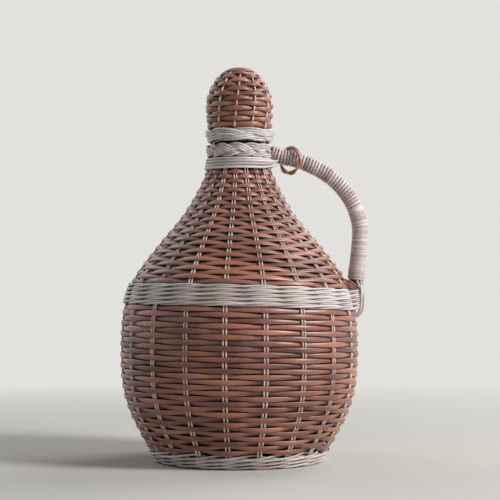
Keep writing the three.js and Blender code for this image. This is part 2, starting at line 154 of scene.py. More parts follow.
class DemijohnHandle(bpy.types.PropertyGroup):
    """Counts and sizes of the canes of the handle and its ring"""
    rod_radius: length_prop("Rod radius", "Radius of the bundle of canes inside the handle", 4.6)
    winding_turns: count_prop("Winding turns", "Turns of thin cane along the handle", 76)
    winding_thick: length_prop("Winding cane", "Thickness of the thin cane wound along the handle", 1.4)
    ring_thick: length_prop("Ring cane", "Thickness of the cane twisted into the loose ring", 1.9)


class DemijohnColours(bpy.types.PropertyGroup):
    """Tones of the finishes and of the stage"""
    brown_dark: colour_prop("Brown cane, dark", "Darker tone of the weaving cane", 84, 42, 30)
    brown_light: colour_prop("Brown cane, light", "Lighter tone of the weaving cane", 177, 110, 82)
    brown_tint: colour_prop("Brown cane, tint", "Rosy tone of some stretches of weaving cane", 174, 121, 116)
    pale_dark: colour_prop("Pale cane, dark", "Darker tone of the peeled cane", 183, 168, 163)
    pale_light: colour_prop("Pale cane, light", "Lighter tone of the peeled cane", 230, 225, 225)
    pale_tint: colour_prop("Pale cane, tint", "Warm stain on some stretches of peeled cane", 207, 187, 177)
    stake_dark: colour_prop("Stakes, dark", "Darker tone of the upright canes", 194, 167, 152)
    stake_light: colour_prop("Stakes, light", "Lighter tone of the upright canes", 234, 219, 210)
    winding_dark: colour_prop("Winding, dark", "Darker tone of the handle's winding", 168, 141, 134)
    winding_light: colour_prop("Winding, light", "Lighter tone of the handle's winding", 227, 217, 217)
    tan_dark: colour_prop("Tan cane, dark", "Darker tone of the ring's cane", 172, 117, 95)
    tan_light: colour_prop("Tan cane, light", "Lighter tone of the ring's cane", 220, 172, 147)
    glass: colour_prop("Glass", "Colour of the bottle's glass", 92, 118, 98)
    cork_dark: colour_prop("Cork, dark", "Pores of the cork", 92, 58, 36)
    cork_light: colour_prop("Cork, light", "Body of the cork", 196, 150, 106)
    floor: colour_prop("Floor", "Pale floor under the demijohn", 214, 212, 206)
    backdrop: colour_prop("Backdrop", "Pale surroundings behind the floor", 226, 225, 221)


class DemijohnSettings(bpy.types.PropertyGroup):
    """All the settings of the demijohn"""
    jacket: PointerProperty(type=DemijohnJacket, name="Jacket", description="Canes woven round the bottle")
    neck: PointerProperty(type=DemijohnNeck, name="Neck", description="Binding and plaits")
    stopper: PointerProperty(type=DemijohnStopper, name="Stopper", description="Woven cap over the cork")
    handle: PointerProperty(type=DemijohnHandle, name="Handle", description="Rod, winding and ring")
    colours: PointerProperty(type=DemijohnColours, name="Colours", description="Tones of the finishes")


# Lines and surfaces

def in_metres(points):
    """Points given in millimetres, as vectors in metres."""
    return [Vector(point) * MM for point in points]


def smooth(points, steps, closed=False):
    """Points on a smooth curve through the given ones, with some steps from each to the next."""
    count = len(points)

    def knot(index):
        return points[index % count] if closed else points[min(max(index, 0), count - 1)]

    line = []
    for span in range(count if closed else count - 1):
        before, start, end, after = (knot(span + offset) for offset in (-1, 0, 1, 2))
        out_handle = start + (end - before) * CURVE_PULL
        in_handle = end - (after - start) * CURVE_PULL
        line += interpolate_bezier(start, out_handle, in_handle, end, steps + 1)[:-1]
    return line if closed else [*line, points[-1]]


def ease(share):
    """A share from 0 to 1 that starts and ends gently."""
    share = min(max(share, 0.0), 1.0)
    return share * share * (3 - 2 * share)


def mix(start, end, share):
    return start + (end - start) * share


def signed_power(value, power):
    return math.copysign(abs(value) ** power, value)


class Outline:
    """A smooth line through [across, height] points in millimetres, walked by its length in metres."""

    def __init__(self, points):
        self.points = smooth(in_metres(points), LINE_STEPS)
        last = len(self.points) - 1
        self.headings = [
            (self.points[min(knot + 1, last)] - self.points[max(knot - 1, 0)]).normalized()
            for knot in range(last + 1)
        ]
        self.lengths = [0.0]
        for here, there in zip(self.points, self.points[1:]):
            self.lengths.append(self.lengths[-1] + (there - here).length)
        self.length = self.lengths[-1]

    def at(self, length):
        """The point at a length and the unit normal to the right of the way, as (across, height)."""
        knot = min(max(bisect_left(self.lengths, length), 1), len(self.points) - 1)
        share = (length - self.lengths[knot - 1]) / (self.lengths[knot] - self.lengths[knot - 1])
        point = self.points[knot - 1].lerp(self.points[knot], share)
        heading = self.headings[knot - 1].lerp(self.headings[knot], share).normalized()
        return point, Vector((heading.y, -heading.x))

    def length_at_height(self, height):
        """The length at which a rising line reaches a height."""
        knot = next(index for index, point in enumerate(self.points) if point.y >= height)
        below, above = self.points[knot - 1].y, self.points[knot].y
        return mix(self.lengths[knot - 1], self.lengths[knot], (height - below) / (above - below))


JACKET = Outline(JACKET_LINE)
CAP = Outline(CAP_LINE)
BASE = Outline(BASE_LINE)
HANDLE = Outline(HANDLE_LINE)


def turned(across, height, angle):
    """A place or a direction in the upright plane at an angle round the axis."""
    return Vector((across * math.cos(angle), across * math.sin(angle), height))


def on_surface(line, angle, length, out=0.0):
    """A point on the surface that a line sweeps round the axis, moved out, and the outward direction."""
    point, normal = line.at(length)
    return turned(*(point + normal * out), angle), turned(*normal, angle)


def round_handle(length, turn):
    """The middle of the handle at a length along it, and the direction out from it at a turn round it."""
    point, normal = HANDLE.at(length)
    inward = normal * math.cos(turn)
    return Vector((point.x, 0, point.y)), Vector((inward.x, math.sin(turn), inward.y))


# Canes

def section(sides, roundness):
    """The outline of a cane as unit (out, aside) points from its inside round: 1 is oval, less is flatter."""
    turns = [TURN * side / sides for side in range(sides)]
    return [(-signed_power(math.cos(turn), roundness), signed_power(math.sin(turn), roundness))
            for turn in turns]


ROUND_CANE = section(8, 1.0)
FLAT_CANE = section(10, 0.85)
# How far along the grain each cane of a group starts after the one before it, in metres
GRAIN_STEP = {
    "stakes": 1.37, "cap_stakes": 0.83, "bands": 2.9, "laps": 1.3, "plaits": 0.31, "plait_ends": 0.37,
    "edge": 3.1, "spokes": 0.77, "rod": 0.41, "loops": 0.3, "gather": 0.4, "gather_sides": 0.1, "ties": 0.3,
}
# Where the grain of a group's first cane starts, if not at 0
GRAIN_START = {"plait_ends": 2.2, "rod": 0.4, "gather": 0.6}


def grain_at(group, cane):
    """Where the grain of one cane in a group starts, so that no two canes look alike."""
    return GRAIN_START.get(group, 0.0) + cane * GRAIN_STEP[group]


def cane_frames(path, closed):
    """For each point of a path, its centre, the direction out, square to the way on, and the one aside."""
    count = len(path)
    for index, (centre, outward, *_) in enumerate(path):
        if closed:
            before, after = path[index - 1][0], path[(index + 1) % count][0]
        else:
            before, after = path[max(index - 1, 0)][0], path[min(index + 1, count - 1)][0]
        heading = (after - before).normalized()
        out = (outward - heading * outward.dot(heading)).normalized()
        yield centre, out, heading.cross(out)


def add_cane(bm, path, outline, closed=False, starts_at=0.0, aside=0.0):
    """Wraps a grid round a path of (centre, outward, thickness, width) as one tube of cane.

    The first coordinate of its UV map is the length along the cane in metres, the second the way round it.
    """
    layer = bm.loops.layers.uv.get(UV_MAP) or bm.loops.layers.uv.new(UV_MAP)
    rings = []
    for (centre, out, across), (_, _, thick, width) in zip(cane_frames(path, closed), path):
        middle = centre + across * aside
        rings.append([middle + out * (outer * thick / 2) + across * (side * width / 2)
                      for outer, side in outline])
    spans = len(path) if closed else len(path) - 1
    sides = len(outline)
    length = sum((path[index][0] - path[index - 1][0]).length for index in range(1, len(path)))
    faces_before = len(bm.faces)
    grid = bmesh.ops.create_grid(bm, x_segments=spans, y_segments=sides, size=1, calc_uvs=True)["verts"]
    for vert in grid:
        column = round((vert.co.x + 1) / 2 * spans) % len(path)
        row = round((vert.co.y + 1) / 2 * sides) % sides
        vert.co = rings[column][row]
    bm.faces.ensure_lookup_table()
    for face in bm.faces[faces_before:]:
        for loop in face.loops:
            uv = loop[layer].uv
            loop[layer].uv = (starts_at + uv.x * length, uv.y)
    bmesh.ops.remove_doubles(bm, verts=grid, dist=MERGE_DISTANCE)


def tapered(path, tip, steps):
    """The same path with both of its ends narrowing to a share of their size over some steps."""
    last = len(path) - 1

    def share(index):
        return mix(tip, 1, ease(min(index, last - index) / steps))

    return [(centre, out, thick * share(index), width * share(index))
            for index, (centre, out, thick, width) in enumerate(path)]


# Finishes

class Value:
    """A number that changes over a surface. Arithmetic on it adds Math nodes to its graph."""

    def __init__(self, graph, socket):
        self.graph = graph
        self.socket = socket

    def math(self, operation, *terms, clamp=False):
        settings = {"operation": operation, "use_clamp": clamp}
        made = self.graph.node("ShaderNodeMath", settings, dict(enumerate(terms)))
        return Value(self.graph, made.outputs[0])

    def __add__(self, other):
        return self.math("ADD", self, other)

    def __sub__(self, other):
        return self.math("SUBTRACT", self, other)

    def __rsub__(self, other):
        return self.math("SUBTRACT", other, self)

    def __mul__(self, other):
        return self.math("MULTIPLY", self, other)

    def clamped(self):
        return self.math("ADD", self, 0.0, clamp=True)

    __radd__ = __add__
    __rmul__ = __mul__


class Graph:
    """A node tree under construction."""

    def __init__(self, tree):
        self.tree = tree

    def node(self, kind, settings=None, sockets=None):
        """A node of a kind, with its settings made first and then its sockets filled or linked."""
        made = self.tree.nodes.new(kind)
        for name, value in (settings or {}).items():
            setattr(made, name, value)
        for name, value in (sockets or {}).items():
            self.feed(made.inputs[name], value)
        return made

    def feed(self, socket, value):
        """Links a socket to what gives a value, or sets it to a plain number, colour or vector."""
        if isinstance(value, Value):
            value = value.socket
        if isinstance(value, bpy.types.NodeSocket):
            self.tree.links.new(value, socket)
        elif isinstance(socket, bpy.types.NodeSocketColor):
            socket.default_value = (*value[:3], 1)
        else:
            socket.default_value = value

    def shown_directly(self):
        """1 where a thing is seen, also in a reflection or through glass, and 0 for the light it gives."""
        rays = self.node("ShaderNodeLightPath").outputs
        seen = Value(self, rays["Is Camera Ray"]) + rays["Is Glossy Ray"] + rays["Is Transmission Ray"]
        return seen.clamped()

    def mix_shaders(self, first, second, share):
        return self.node("ShaderNodeMixShader", None, {0: share, 1: first, 2: second}).outputs["Shader"]


class Finish(Graph):
    """A material under construction, with its shader and the nodes that feed it."""

    def __init__(self, name, constants):
        self.material = bpy.data.materials.new(name)
        self.material.use_nodes = True
        super().__init__(self.material.node_tree)
        self.shader = self.tree.nodes["Principled BSDF"]
        self.output = self.tree.nodes["Material Output"]
        for socket, value in constants.items():
            self.shader.inputs[socket].default_value = value

    def shade(self, **sockets):
        for name, value in sockets.items():
            self.feed(self.shader.inputs[name.replace("_", " ")], value)

    def split(self, vector):
        parts = self.node("ShaderNodeSeparateXYZ", None, {"Vector": vector}).outputs
        return [Value(self, parts[axis]) for axis in "XYZ"]

    def vector(self, x, y, z=0.0):
        return self.node("ShaderNodeCombineXYZ", None, {"X": x, "Y": y, "Z": z}).outputs["Vector"]

    def place(self):
        return self.node("ShaderNodeTexCoord").outputs["Object"]

    def noise(self, vector, scale=1.0, detail=2.0):
        made = self.node("ShaderNodeTexNoise", None, {"Vector": vector, "Scale": scale, "Detail": detail})
        return Value(self, made.outputs["Fac"])

    def blend(self, start, end, share):
        """A colour between two others. On a Mix node of colours these are sockets 6, 7 and 2."""
        made = self.node("ShaderNodeMix", {"data_type": "RGBA"}, {0: share, 6: start, 7: end})
        return made.outputs[2]

    def bump(self, height, strength, distance):
        sockets = {"Strength": strength, "Distance": distance, "Height": height}
        return self.node("ShaderNodeBump", None, sockets).outputs["Normal"]


# Cane: how often its grain changes in a metre along it and once round it, and how much each change shows
TONE_ALONG = 16
TONE_AROUND = 0.35
TONE_CONTRAST = 3.0
FIBRE_ALONG = 55
FIBRE_CONTRAST = 0.9
FIBRE_GLOSS = 0.35
FIBRE_BUMP = 0.35
FIBRE_HEIGHT = 0.4 * MM
HAIR_ALONG = 160
HAIRS_IN_FIBRE = 3
HAIR_CONTRAST = 0.5
HAIR_SHARE = 0.3
STAINS = 34.0
STAIN_FROM = 0.42
STAIN_EDGE = 3.2
STAIN_SHARE = 0.55
COAT = 0.55
COAT_CONTRAST = 1.2
# Glass: its ripples and seeds in a metre, and how much they show
RIPPLES = 22.0
RIPPLE_SHADE = 0.55
RIPPLE_BUMP = 0.15
RIPPLE_HEIGHT = 2 * MM
SEEDS = 160.0
SEED_FROM = 0.55
SEED_ROUGHNESS = 0.5
GLASS_ROUGHNESS = 0.03
# Cork: its crumbs, slabs and pores in a metre, and how much they show
CRUMBS = 420.0
CRUMB_SHARE = 0.5
CRUMB_ROUGHNESS = 0.2
SLABS = 70.0
SLAB_CONTRAST = 0.9
PORES_ACROSS = 260
PORES_UP = 900
PORE_FROM = 0.63
PORE_EDGE = 9.0
PORE_BUMP = 0.6
PORE_DEPTH = 0.6 * MM
CORK_TONE = 0.35
CORK_ROUGHNESS = 0.75


def cane_finish(name, dark, light, tint, roughness, fibres, grain=1.0):
    """Split cane: long fibres of some grain, tones that change from stretch to stretch, and a satin skin."""
    finish = Finish(name, {"Specular IOR Level": 0.5, "Coat Roughness": 0.36})
    uv = finish.node("ShaderNodeUVMap", {"uv_map": UV_MAP}).outputs["UV"]
    along, around, _ = finish.split(uv)
    stretch = finish.noise(finish.vector(along * TONE_ALONG, around * TONE_AROUND), detail=1.5)
    fibre = finish.noise(finish.vector(along * FIBRE_ALONG, around * fibres), detail=3.0)
    hair = finish.noise(finish.vector(along * HAIR_ALONG, around * fibres * HAIRS_IN_FIBRE))
    patch = finish.noise(finish.place(), STAINS)
    streaks = (fibre - 0.5) * (FIBRE_CONTRAST * grain) + (hair - 0.5) * (HAIR_CONTRAST * grain)
    tone = (0.5 + (stretch - 0.5) * TONE_CONTRAST + streaks).clamped()
    stain = ((patch - STAIN_FROM) * STAIN_EDGE).clamped()
    relief = fibre * (1 - HAIR_SHARE) + hair * HAIR_SHARE
    finish.shade(
        Base_Color=finish.blend(finish.blend(dark, light, tone), tint, stain * STAIN_SHARE),
        Roughness=roughness + (fibre - 0.5) * (FIBRE_GLOSS * grain),
        Coat_Weight=(COAT + (stretch - 0.5) * COAT_CONTRAST).clamped(),
        Normal=finish.bump(relief, FIBRE_BUMP * grain, FIBRE_HEIGHT),
    )
    return finish.material


def glass_finish(name, colour):
    """Blown green glass with a slow ripple and small seeds."""
    finish = Finish(name, {"Transmission Weight": 0.85, "IOR": 1.5, "Coat Weight": 0.0})
    ripple = finish.noise(finish.place(), RIPPLES, detail=1.0)
    seed = finish.noise(finish.place(), SEEDS)
    shade = tuple(RIPPLE_SHADE * part for part in colour)
    finish.shade(
        Base_Color=finish.blend(shade, colour, ripple),
        Roughness=GLASS_ROUGHNESS + ((seed - SEED_FROM) * SEED_ROUGHNESS).clamped(),
        Normal=finish.bump(ripple, RIPPLE_BUMP, RIPPLE_HEIGHT),
    )
    return finish.material


def cork_finish(name, dark, light):
    """Cork: fine crumbs, slabs of other tones and darker pores."""
    finish = Finish(name, {"Specular IOR Level": 0.2})
    place = finish.place()
    crumb = finish.noise(place, CRUMBS, detail=4.0)
    slab = finish.noise(place, SLABS)
    x, y, z = finish.split(place)
    pore = finish.noise(finish.vector(x * PORES_ACROSS, y * PORES_ACROSS, z * PORES_UP), detail=1.0)
    holes = ((pore - PORE_FROM) * PORE_EDGE).clamped()
    tone = (CORK_TONE + crumb * CRUMB_SHARE + (slab - 0.5) * SLAB_CONTRAST - holes).clamped()
    finish.shade(
        Base_Color=finish.blend(dark, light, tone),
        Roughness=CORK_ROUGHNESS + crumb * CRUMB_ROUGHNESS,
        Normal=finish.bump(crumb * CRUMB_SHARE - holes, PORE_BUMP, PORE_DEPTH),
    )
    return finish.material


# What makes each finish, the colours that it takes and its other values
FINISHES = {
    "brown_cane_finish": (cane_finish, ("brown_dark", "brown_light", "brown_tint"),
                          {"roughness": 0.42, "fibres": 7}),
    "pale_cane_finish": (cane_finish, ("pale_dark", "pale_light", "pale_tint"),
                         {"roughness": 0.5, "fibres": 6}),
    "stake_finish": (cane_finish, ("stake_dark", "stake_light", "stake_light"),
                     {"roughness": 0.5, "fibres": 4, "grain": 0.6}),
    "winding_finish": (cane_finish, ("winding_dark", "winding_light", "winding_light"),
                       {"roughness": 0.55, "fibres": 2, "grain": 0.2}),
    "tan_cane_finish": (cane_finish, ("tan_dark", "tan_light", "tan_light"),
                        {"roughness": 0.45, "fibres": 6}),
    "bottle_glass_finish": (glass_finish, ("glass",), {}),
    "cork_finish": (cork_finish, ("cork_dark", "cork_light"), {}),
}


def finish_of(context, name):
    """The material of a finish, made the first time that it is asked for."""
    made = bpy.data.materials.get(name)
    if made:
        return made
    make, colours, values = FINISHES[name]
    tones = context.scene.demijohn.colours
    return make(name, *(getattr(tones, colour) for colour in colours), **values)


def add_piece(context, name, bm, body, slot, *nodes, finish=None):
    """Closes a bmesh and makes it a smooth piece that rides on a body and stands for CAD nodes."""
    bmesh.ops.holes_fill(bm, edges=[edge for edge in bm.edges if edge.is_boundary], sides=0)
    bmesh.ops.recalc_face_normals(bm, faces=bm.faces)
    if not bm.faces:
        raise RuntimeError(f"{name} has no faces")
    mesh = bpy.data.meshes.new(name)
    bm.to_mesh(mesh)
    bm.free()
    mesh.shade_smooth()
    mesh.materials.append(finish_of(context, finish or f"{slot}_finish"))
    piece = bpy.data.objects.new(name, mesh)
    context.scene.collection.objects.link(piece)
    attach(piece, body)
    if nodes:
        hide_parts(*nodes)


# Jacket

STAKE_TOP_Z = 224.9 * MM
# How much of its size a stake still has at the top, and how far it bows round the weaver
STAKE_TAPER = 0.72
STAKE_BOW = 0.28 * MM
STAKE_STEPS = 264
HAIRPIN_STEPS = 8
WEAVER_STEPS = 8
# A row steps up to the next over this last share of its way round
ROW_STEP_SHARE = 0.25
# How far a row strays, the radius of its way round in the noise, and the height of one step there
ROW_WANDER = 0.35 * MM
ROW_WANDER_RADIUS = 2.5
ROW_WANDER_HEIGHT = 12 * MM
# How far the rows dip on the handle's side, and how soon that fades on the way round
ROW_DIP = 5 * MM
ROW_DIP_POWER = 2.5
# How many rows before a coil the weaver starts to leave the stakes
COIL_LEAD_ROWS = 1.5
WEAVER_CLEARANCE = 0.06 * MM
# The weaver's width as a share of a row's height, and what it gains outside a stake
WEAVER_WIDTH = 0.84
WEAVER_BULGE = 0.17
# How much deeper the weaver swings inside a stake than outside
WEAVER_INSIDE_DEPTH = 1.5
# How much of its width and thickness the weaver still has at its ends
WEAVER_TIP_WIDTH = 0.15
WEAVER_TIP_THICK = 0.5
LOWER_WEAVER_Z = (11.3 * MM, 116.6 * MM)
UPPER_WEAVER_Z = (132.1 * MM, 215.9 * MM)
# The stake at which the rows start, and the one behind the handle's tip
BACK_STAKE = 12
HANDLE_STAKE = 5
# How far from the axis the middle band passes over the handle's tip, and for what share of a stake's step
OVER_HANDLE_RADIUS = 89.4 * MM
OVER_HANDLE_SHARE = 0.17
BANDS = {
    "foot": {"courses": 3, "lowest_z": 2.6 * MM, "rise": 3.35 * MM, "over_handle": False,
             "nodes": ("foot_wale_1", "foot_wale_2")},
    "mid": {"courses": 5, "lowest_z": 117.7 * MM, "rise": 3.05 * MM, "over_handle": True,
            "nodes": ("mid_wale_1", "mid_wale_2", "mid_wale_3")},
}
WALE_STEPS = 7
# How much of its half of a course a band's cane fills
WALE_FILL = 0.98
WALE_REPEAT = 3
# Where a band's cane is on its way past three stakes, before its weave repeats: (stake, side, lift)
WALE_WEAVE = ((0.25, -1, -1), (1, 1, -1), (2, 1, 1), (2.75, -1, 1))


def stake_angle(jacket, index):
    return jacket.first_stake + index * TURN / jacket.stakes


def stake_share(length):
    """How much of its size at the foot a stake still has at a length up the jacket."""
    return mix(1, STAKE_TAPER, length / JACKET.length)


def row_dip(angle, level):
    """How far the jacket's rows sink at a place: most of all at mid height on the handle's side."""
    near_handle = ((1 + math.cos(angle)) / 2) ** ROW_DIP_POWER
    return ROW_DIP * near_handle * math.sin(math.pi * level / JACKET.length) ** 2


def no_dip(angle, level):
    return 0.0


@dataclass
class Weave:
    """Level rows of one cane that passes outside every second stake and inside the others.

    A row starts at one stake and steps up to the next row late in its way round, and the cane's thin ends
    fill the spaces that the first and the last step leave. The stakes, which may lean round on their way up,
    bow out where the cane passes inside them. The last rows may only coil on top.
    """
    line: Outline
    start: float
    end: float
    rows: int
    stakes: int
    first_stake: int
    first_angle: float
    lean: float = 0.0
    coiled_rows: float = 0.0

    @property
    def pitch(self):
        """The height of a row, along the line."""
        return (self.end - self.start) / self.rows

    def level(self, crossing):
        """How far up the line the cane is at a crossing."""
        turns = crossing / self.stakes
        if turns < 0:
            return self.start + self.pitch * self.fullness(crossing) / 2
        if turns > self.rows - ROW_STEP_SHARE:
            return self.end - self.pitch * self.fullness(crossing) / 2
        row = math.floor(turns)
        return self.start + self.pitch * (0.5 + row + ease((turns - row - 1) / ROW_STEP_SHARE + 1))

    def fullness(self, crossing):
        """How full the cane is at a crossing, from nothing at its ends to 1 between the steps."""
        turns = crossing / self.stakes
        return ease(turns / ROW_STEP_SHARE + 1) * ease((self.rows - turns) / ROW_STEP_SHARE)

    def side(self, crossing, level):
        """1 where the cane passes outside a stake and -1 where it passes inside."""
        rows_left = (self.end - level) / self.pitch
        coiled = ease(self.coiled_rows + COIL_LEAD_ROWS - rows_left) if self.coiled_rows else 0.0
        return mix(-math.cos(math.pi * crossing), 1, coiled)

    def bow(self, stake, level):
        """1 where a stake bows out, -1 where it bows in and 0 where there is no weave."""
        place = (stake - self.first_stake) % self.stakes
        row = (level - self.level(place)) / self.pitch
        fade = ease((level - self.start) / self.pitch) * ease((self.end - level) / self.pitch)
        return math.cos(math.pi * (row + place)) * fade

    def path(self, thick, swing_at, dip_at=no_dip):
        """The cane's way through the stakes, which swings from their line as far as a function says."""
        path = []
        lead = math.floor(ROW_STEP_SHARE * self.stakes * WEAVER_STEPS)
        for step in range(-lead, self.rows * self.stakes * WEAVER_STEPS + 1):
            crossing = step / WEAVER_STEPS
            level = self.level(crossing)
            angle = self.first_angle + crossing * TURN / self.stakes + self.lean * level / self.line.length
            wander = noise.noise(turned(ROW_WANDER_RADIUS, level / ROW_WANDER_HEIGHT, angle))
            length = level - dip_at(angle, level) + ROW_WANDER * wander
            side = self.side(crossing, level)
            reach = side * swing_at(length) * (1 if side > 0 else WEAVER_INSIDE_DEPTH)
            fullness = self.fullness(crossing)
            depth = thick * mix(WEAVER_TIP_THICK, 1, fullness)
            row_share = WEAVER_WIDTH + WEAVER_BULGE * max(side, 0)
            width = self.pitch * row_share * mix(WEAVER_TIP_WIDTH, 1, fullness)
            path.append((*on_surface(self.line, angle, length, reach), depth, width))
        return path


def swing_past(stake_thick, weaver_thick):
    """How far a weaver swings from the stakes' line to lie against a bowed stake on its way past."""
    return stake_thick / 2 + WEAVER_CLEARANCE + weaver_thick / 2 - STAKE_BOW


def jacket_weaves(jacket):
    """The weaves below and above the middle band."""
    fields = ((LOWER_WEAVER_Z, jacket.lower_rows), (UPPER_WEAVER_Z, jacket.upper_rows))
    return [Weave(JACKET, JACKET.length_at_height(low), JACKET.length_at_height(high), rows, jacket.stakes,
                  BACK_STAKE, stake_angle(jacket, BACK_STAKE)) for (low, high), rows in fields]


class DEMIJOHN_OT_stakes(bpy.types.Operator):
    """Make the pairs of upright canes, each one cane folded into a hairpin at the foot"""
    bl_idname = "demijohn.stakes"
    bl_label = "Stakes"

    def execute(self, context):
        jacket = context.scene.demijohn.jacket
        for pair in range(jacket.stakes):
            bm = bmesh.new()
            add_cane(bm, self.hairpin(jacket, pair), ROUND_CANE, starts_at=grain_at("stakes", pair))
            label = f"{pair + 1:02d}"
            add_piece(context, f"stake_canes_{label}", bm, "bottle", "pale_cane", f"stake_pair_{label}",
                      finish="stake_finish")
        return {"FINISHED"}

    def hairpin(self, jacket, pair):
        """The path of a cane that comes down from the neck, turns at the foot and goes up beside itself."""
        angle = stake_angle(jacket, pair)
        eastward = turned(1, 0, angle + TURN / 4)
        radius = jacket.stake_spread / 2
        foot = radius + jacket.stake_thick / 2
        top = JACKET.length_at_height(STAKE_TOP_Z)
        weaves = jacket_weaves(jacket)
        down, turn, up = [], [], []
        for step in range(STAKE_STEPS + 1):
            length = mix(foot, top, step / STAKE_STEPS)
            level = length + row_dip(angle, length + row_dip(angle, length))
            bow = sum(weave.bow(pair, level) for weave in weaves)
            centre, outward = on_surface(JACKET, angle, length, bow * STAKE_BOW)
            thick = jacket.stake_thick * stake_share(length)
            aside = eastward * (radius * stake_share(length))
            down.append((centre - aside, outward, thick, thick))
            up.append((centre + aside, outward, thick, thick))
        for step in range(1, HAIRPIN_STEPS):
            bend = math.pi * (step / HAIRPIN_STEPS - 0.5)
            centre, outward = on_surface(JACKET, angle, foot - radius * math.cos(bend))
            aside = eastward * (radius * math.sin(bend))
            turn.append((centre + aside, outward, jacket.stake_thick, jacket.stake_thick))
        return [*reversed(down), *turn, *up]


class DEMIJOHN_OT_weavers(bpy.types.Operator):
    """Weave the brown cane below and above the middle band"""
    bl_idname = "demijohn.weavers"
    bl_label = "Weavers"

    def execute(self, context):
        jacket = context.scene.demijohn.jacket

        def swing(length):
            return swing_past(jacket.stake_thick * stake_share(length), jacket.weaver_thick)

        for name, weave in zip(("lower", "upper"), jacket_weaves(jacket)):
            bm = bmesh.new()
            add_cane(bm, weave.path(jacket.weaver_thick, swing, row_dip), FLAT_CANE)
            add_piece(context, f"{name}_weaver_cane", bm, "bottle", "brown_cane", f"{name}_weaver")
        return {"FINISHED"}


class DEMIJOHN_OT_bands(bpy.types.Operator):
    """Weave the pale bands at the foot and round the middle, two stakes over and one under"""
    bl_idname = "demijohn.bands"
    bl_label = "Bands"

    def execute(self, context):
        jacket = context.scene.demijohn.jacket
        for name, band in BANDS.items():
            lowest = JACKET.length_at_height(band["lowest_z"])
            rise = band["rise"]
            bm = bmesh.new()
            for course in range(band["courses"]):
                path = self.course_path(jacket, lowest + course * rise, rise, band["over_handle"])
                add_cane(bm, path, FLAT_CANE, closed=True, starts_at=grain_at("bands", course))
            add_piece(context, f"{name}_band_canes", bm, "bottle", "pale_cane", *band["nodes"])
        return {"FINISHED"}

    def course_path(self, jacket, lowest, rise, over_handle):
        """One endless cane, which closes on itself after three rounds."""
        keys = []
        for repeat in range(jacket.stakes):
            for stake, side, lift in WALE_WEAVE:
                place = repeat * WALE_REPEAT + stake
                level = lowest + (1 + lift) * rise / 4
                if over_handle and side > 0 and place % jacket.stakes == HANDLE_STAKE:
                    for past in (0, OVER_HANDLE_SHARE):
                        keys.append(self.key(jacket, place + past, level, side, OVER_HANDLE_RADIUS))
                else:
                    keys.append(self.key(jacket, place, level, side))
        tilt = JACKET.at(lowest + rise / 4)[1]
        path = []
        for centre in smooth(keys, WALE_STEPS, closed=True):
            around = centre.xy.normalized()
            outward = Vector((*(around * tilt.x), tilt.y))
            path.append((centre, outward, jacket.wale_thick, rise / 2 * WALE_FILL))
        return path

    def key(self, jacket, place, level, side, distance=None):
        """Where a band's cane passes a place among the stakes, at a given distance from the axis if any."""
        angle = stake_angle(jacket, place)
        centre, _ = on_surface(JACKET, angle, level - row_dip(angle, level), side * jacket.wale_swing)
        if distance:
            centre.xy = centre.xy.normalized() * distance
        return centre


# Neck

BINDING_PITCH = 2.25 * MM
BINDING_LOWEST_Z = 217.3 * MM
# How far out from the jacket's line the binding lies
BINDING_REACH = 1.9 * MM
BINDING_STEPS = 40
# How much of a turn the lowest row goes, and the angle at which all the cut ends leave the neck
BINDING_LAST_SHARE = 0.6
BINDING_END = math.radians(-58)
# How far the cut end of a row runs and rises: the lowest row's own, and those lapped over the rows above it
BINDING_TAIL = {"run": 20.5 * MM, "rise": 3.0 * MM}
BINDING_LAPS = ({"run": 15 * MM, "rise": 1.4 * MM}, {"run": 18.6 * MM, "rise": 0.5 * MM})
# How far out from its row a lap ends, and over how much of a turn it gets there
BINDING_LAP_OUT = 1.3 * MM
BINDING_LAP_SHARE = 0.25
# How thick a tail still is at some shares of its run
BINDING_TIP = ((0.2, 1), (0.4, 1), (0.6, 1), (0.75, 0.96), (0.88, 0.75), (0.96, 0.42), (1, 0.1))
NECK_PLAIT = {"radius": 22.7 * MM, "z": 230.6 * MM, "repeats": 4, "sway": 2.7 * MM, "depth": 1.3 * MM}
CAP_PLAIT = {"radius": 23.2 * MM, "z": 242.2 * MM, "repeats": 2, "sway": 2.4 * MM, "depth": 1.3 * MM}
# How far in a strand lies where it climbs across the middle, and out where it falls, as a share of its depth
PLAIT_BIAS = 0.25
PLAIT_STRANDS = 3
PLAIT_STEPS = 40
# Points that the cut ends of the cap's plait follow, in millimetres
CAP_PLAIT_ENDS = (
    ((18.4, -16.2, 242.6), (21.2, -12.8, 243.3), (24.4, -9.2, 244.2), (27.2, -6, 245.2)),
    ((18.9, -15.6, 241.4), (21.9, -12.2, 242), (25, -8.8, 242.9), (27.6, -5.8, 243.8)),
    ((19.4, -15, 240), (21.4, -12.6, 239.7), (23.4, -10.2, 239.4), (25, -8.2, 239.2)),
    ((19, -15.4, 238.9), (20.8, -13.2, 238.5), (22.6, -11, 238.1), (24, -9.2, 237.9)),
)
CUT_CANE_THICK = 1.75 * MM
CUT_CANE_STEPS = 5
CUT_CANE_TIP = 0.6
CUT_CANE_TIP_STEPS = 2


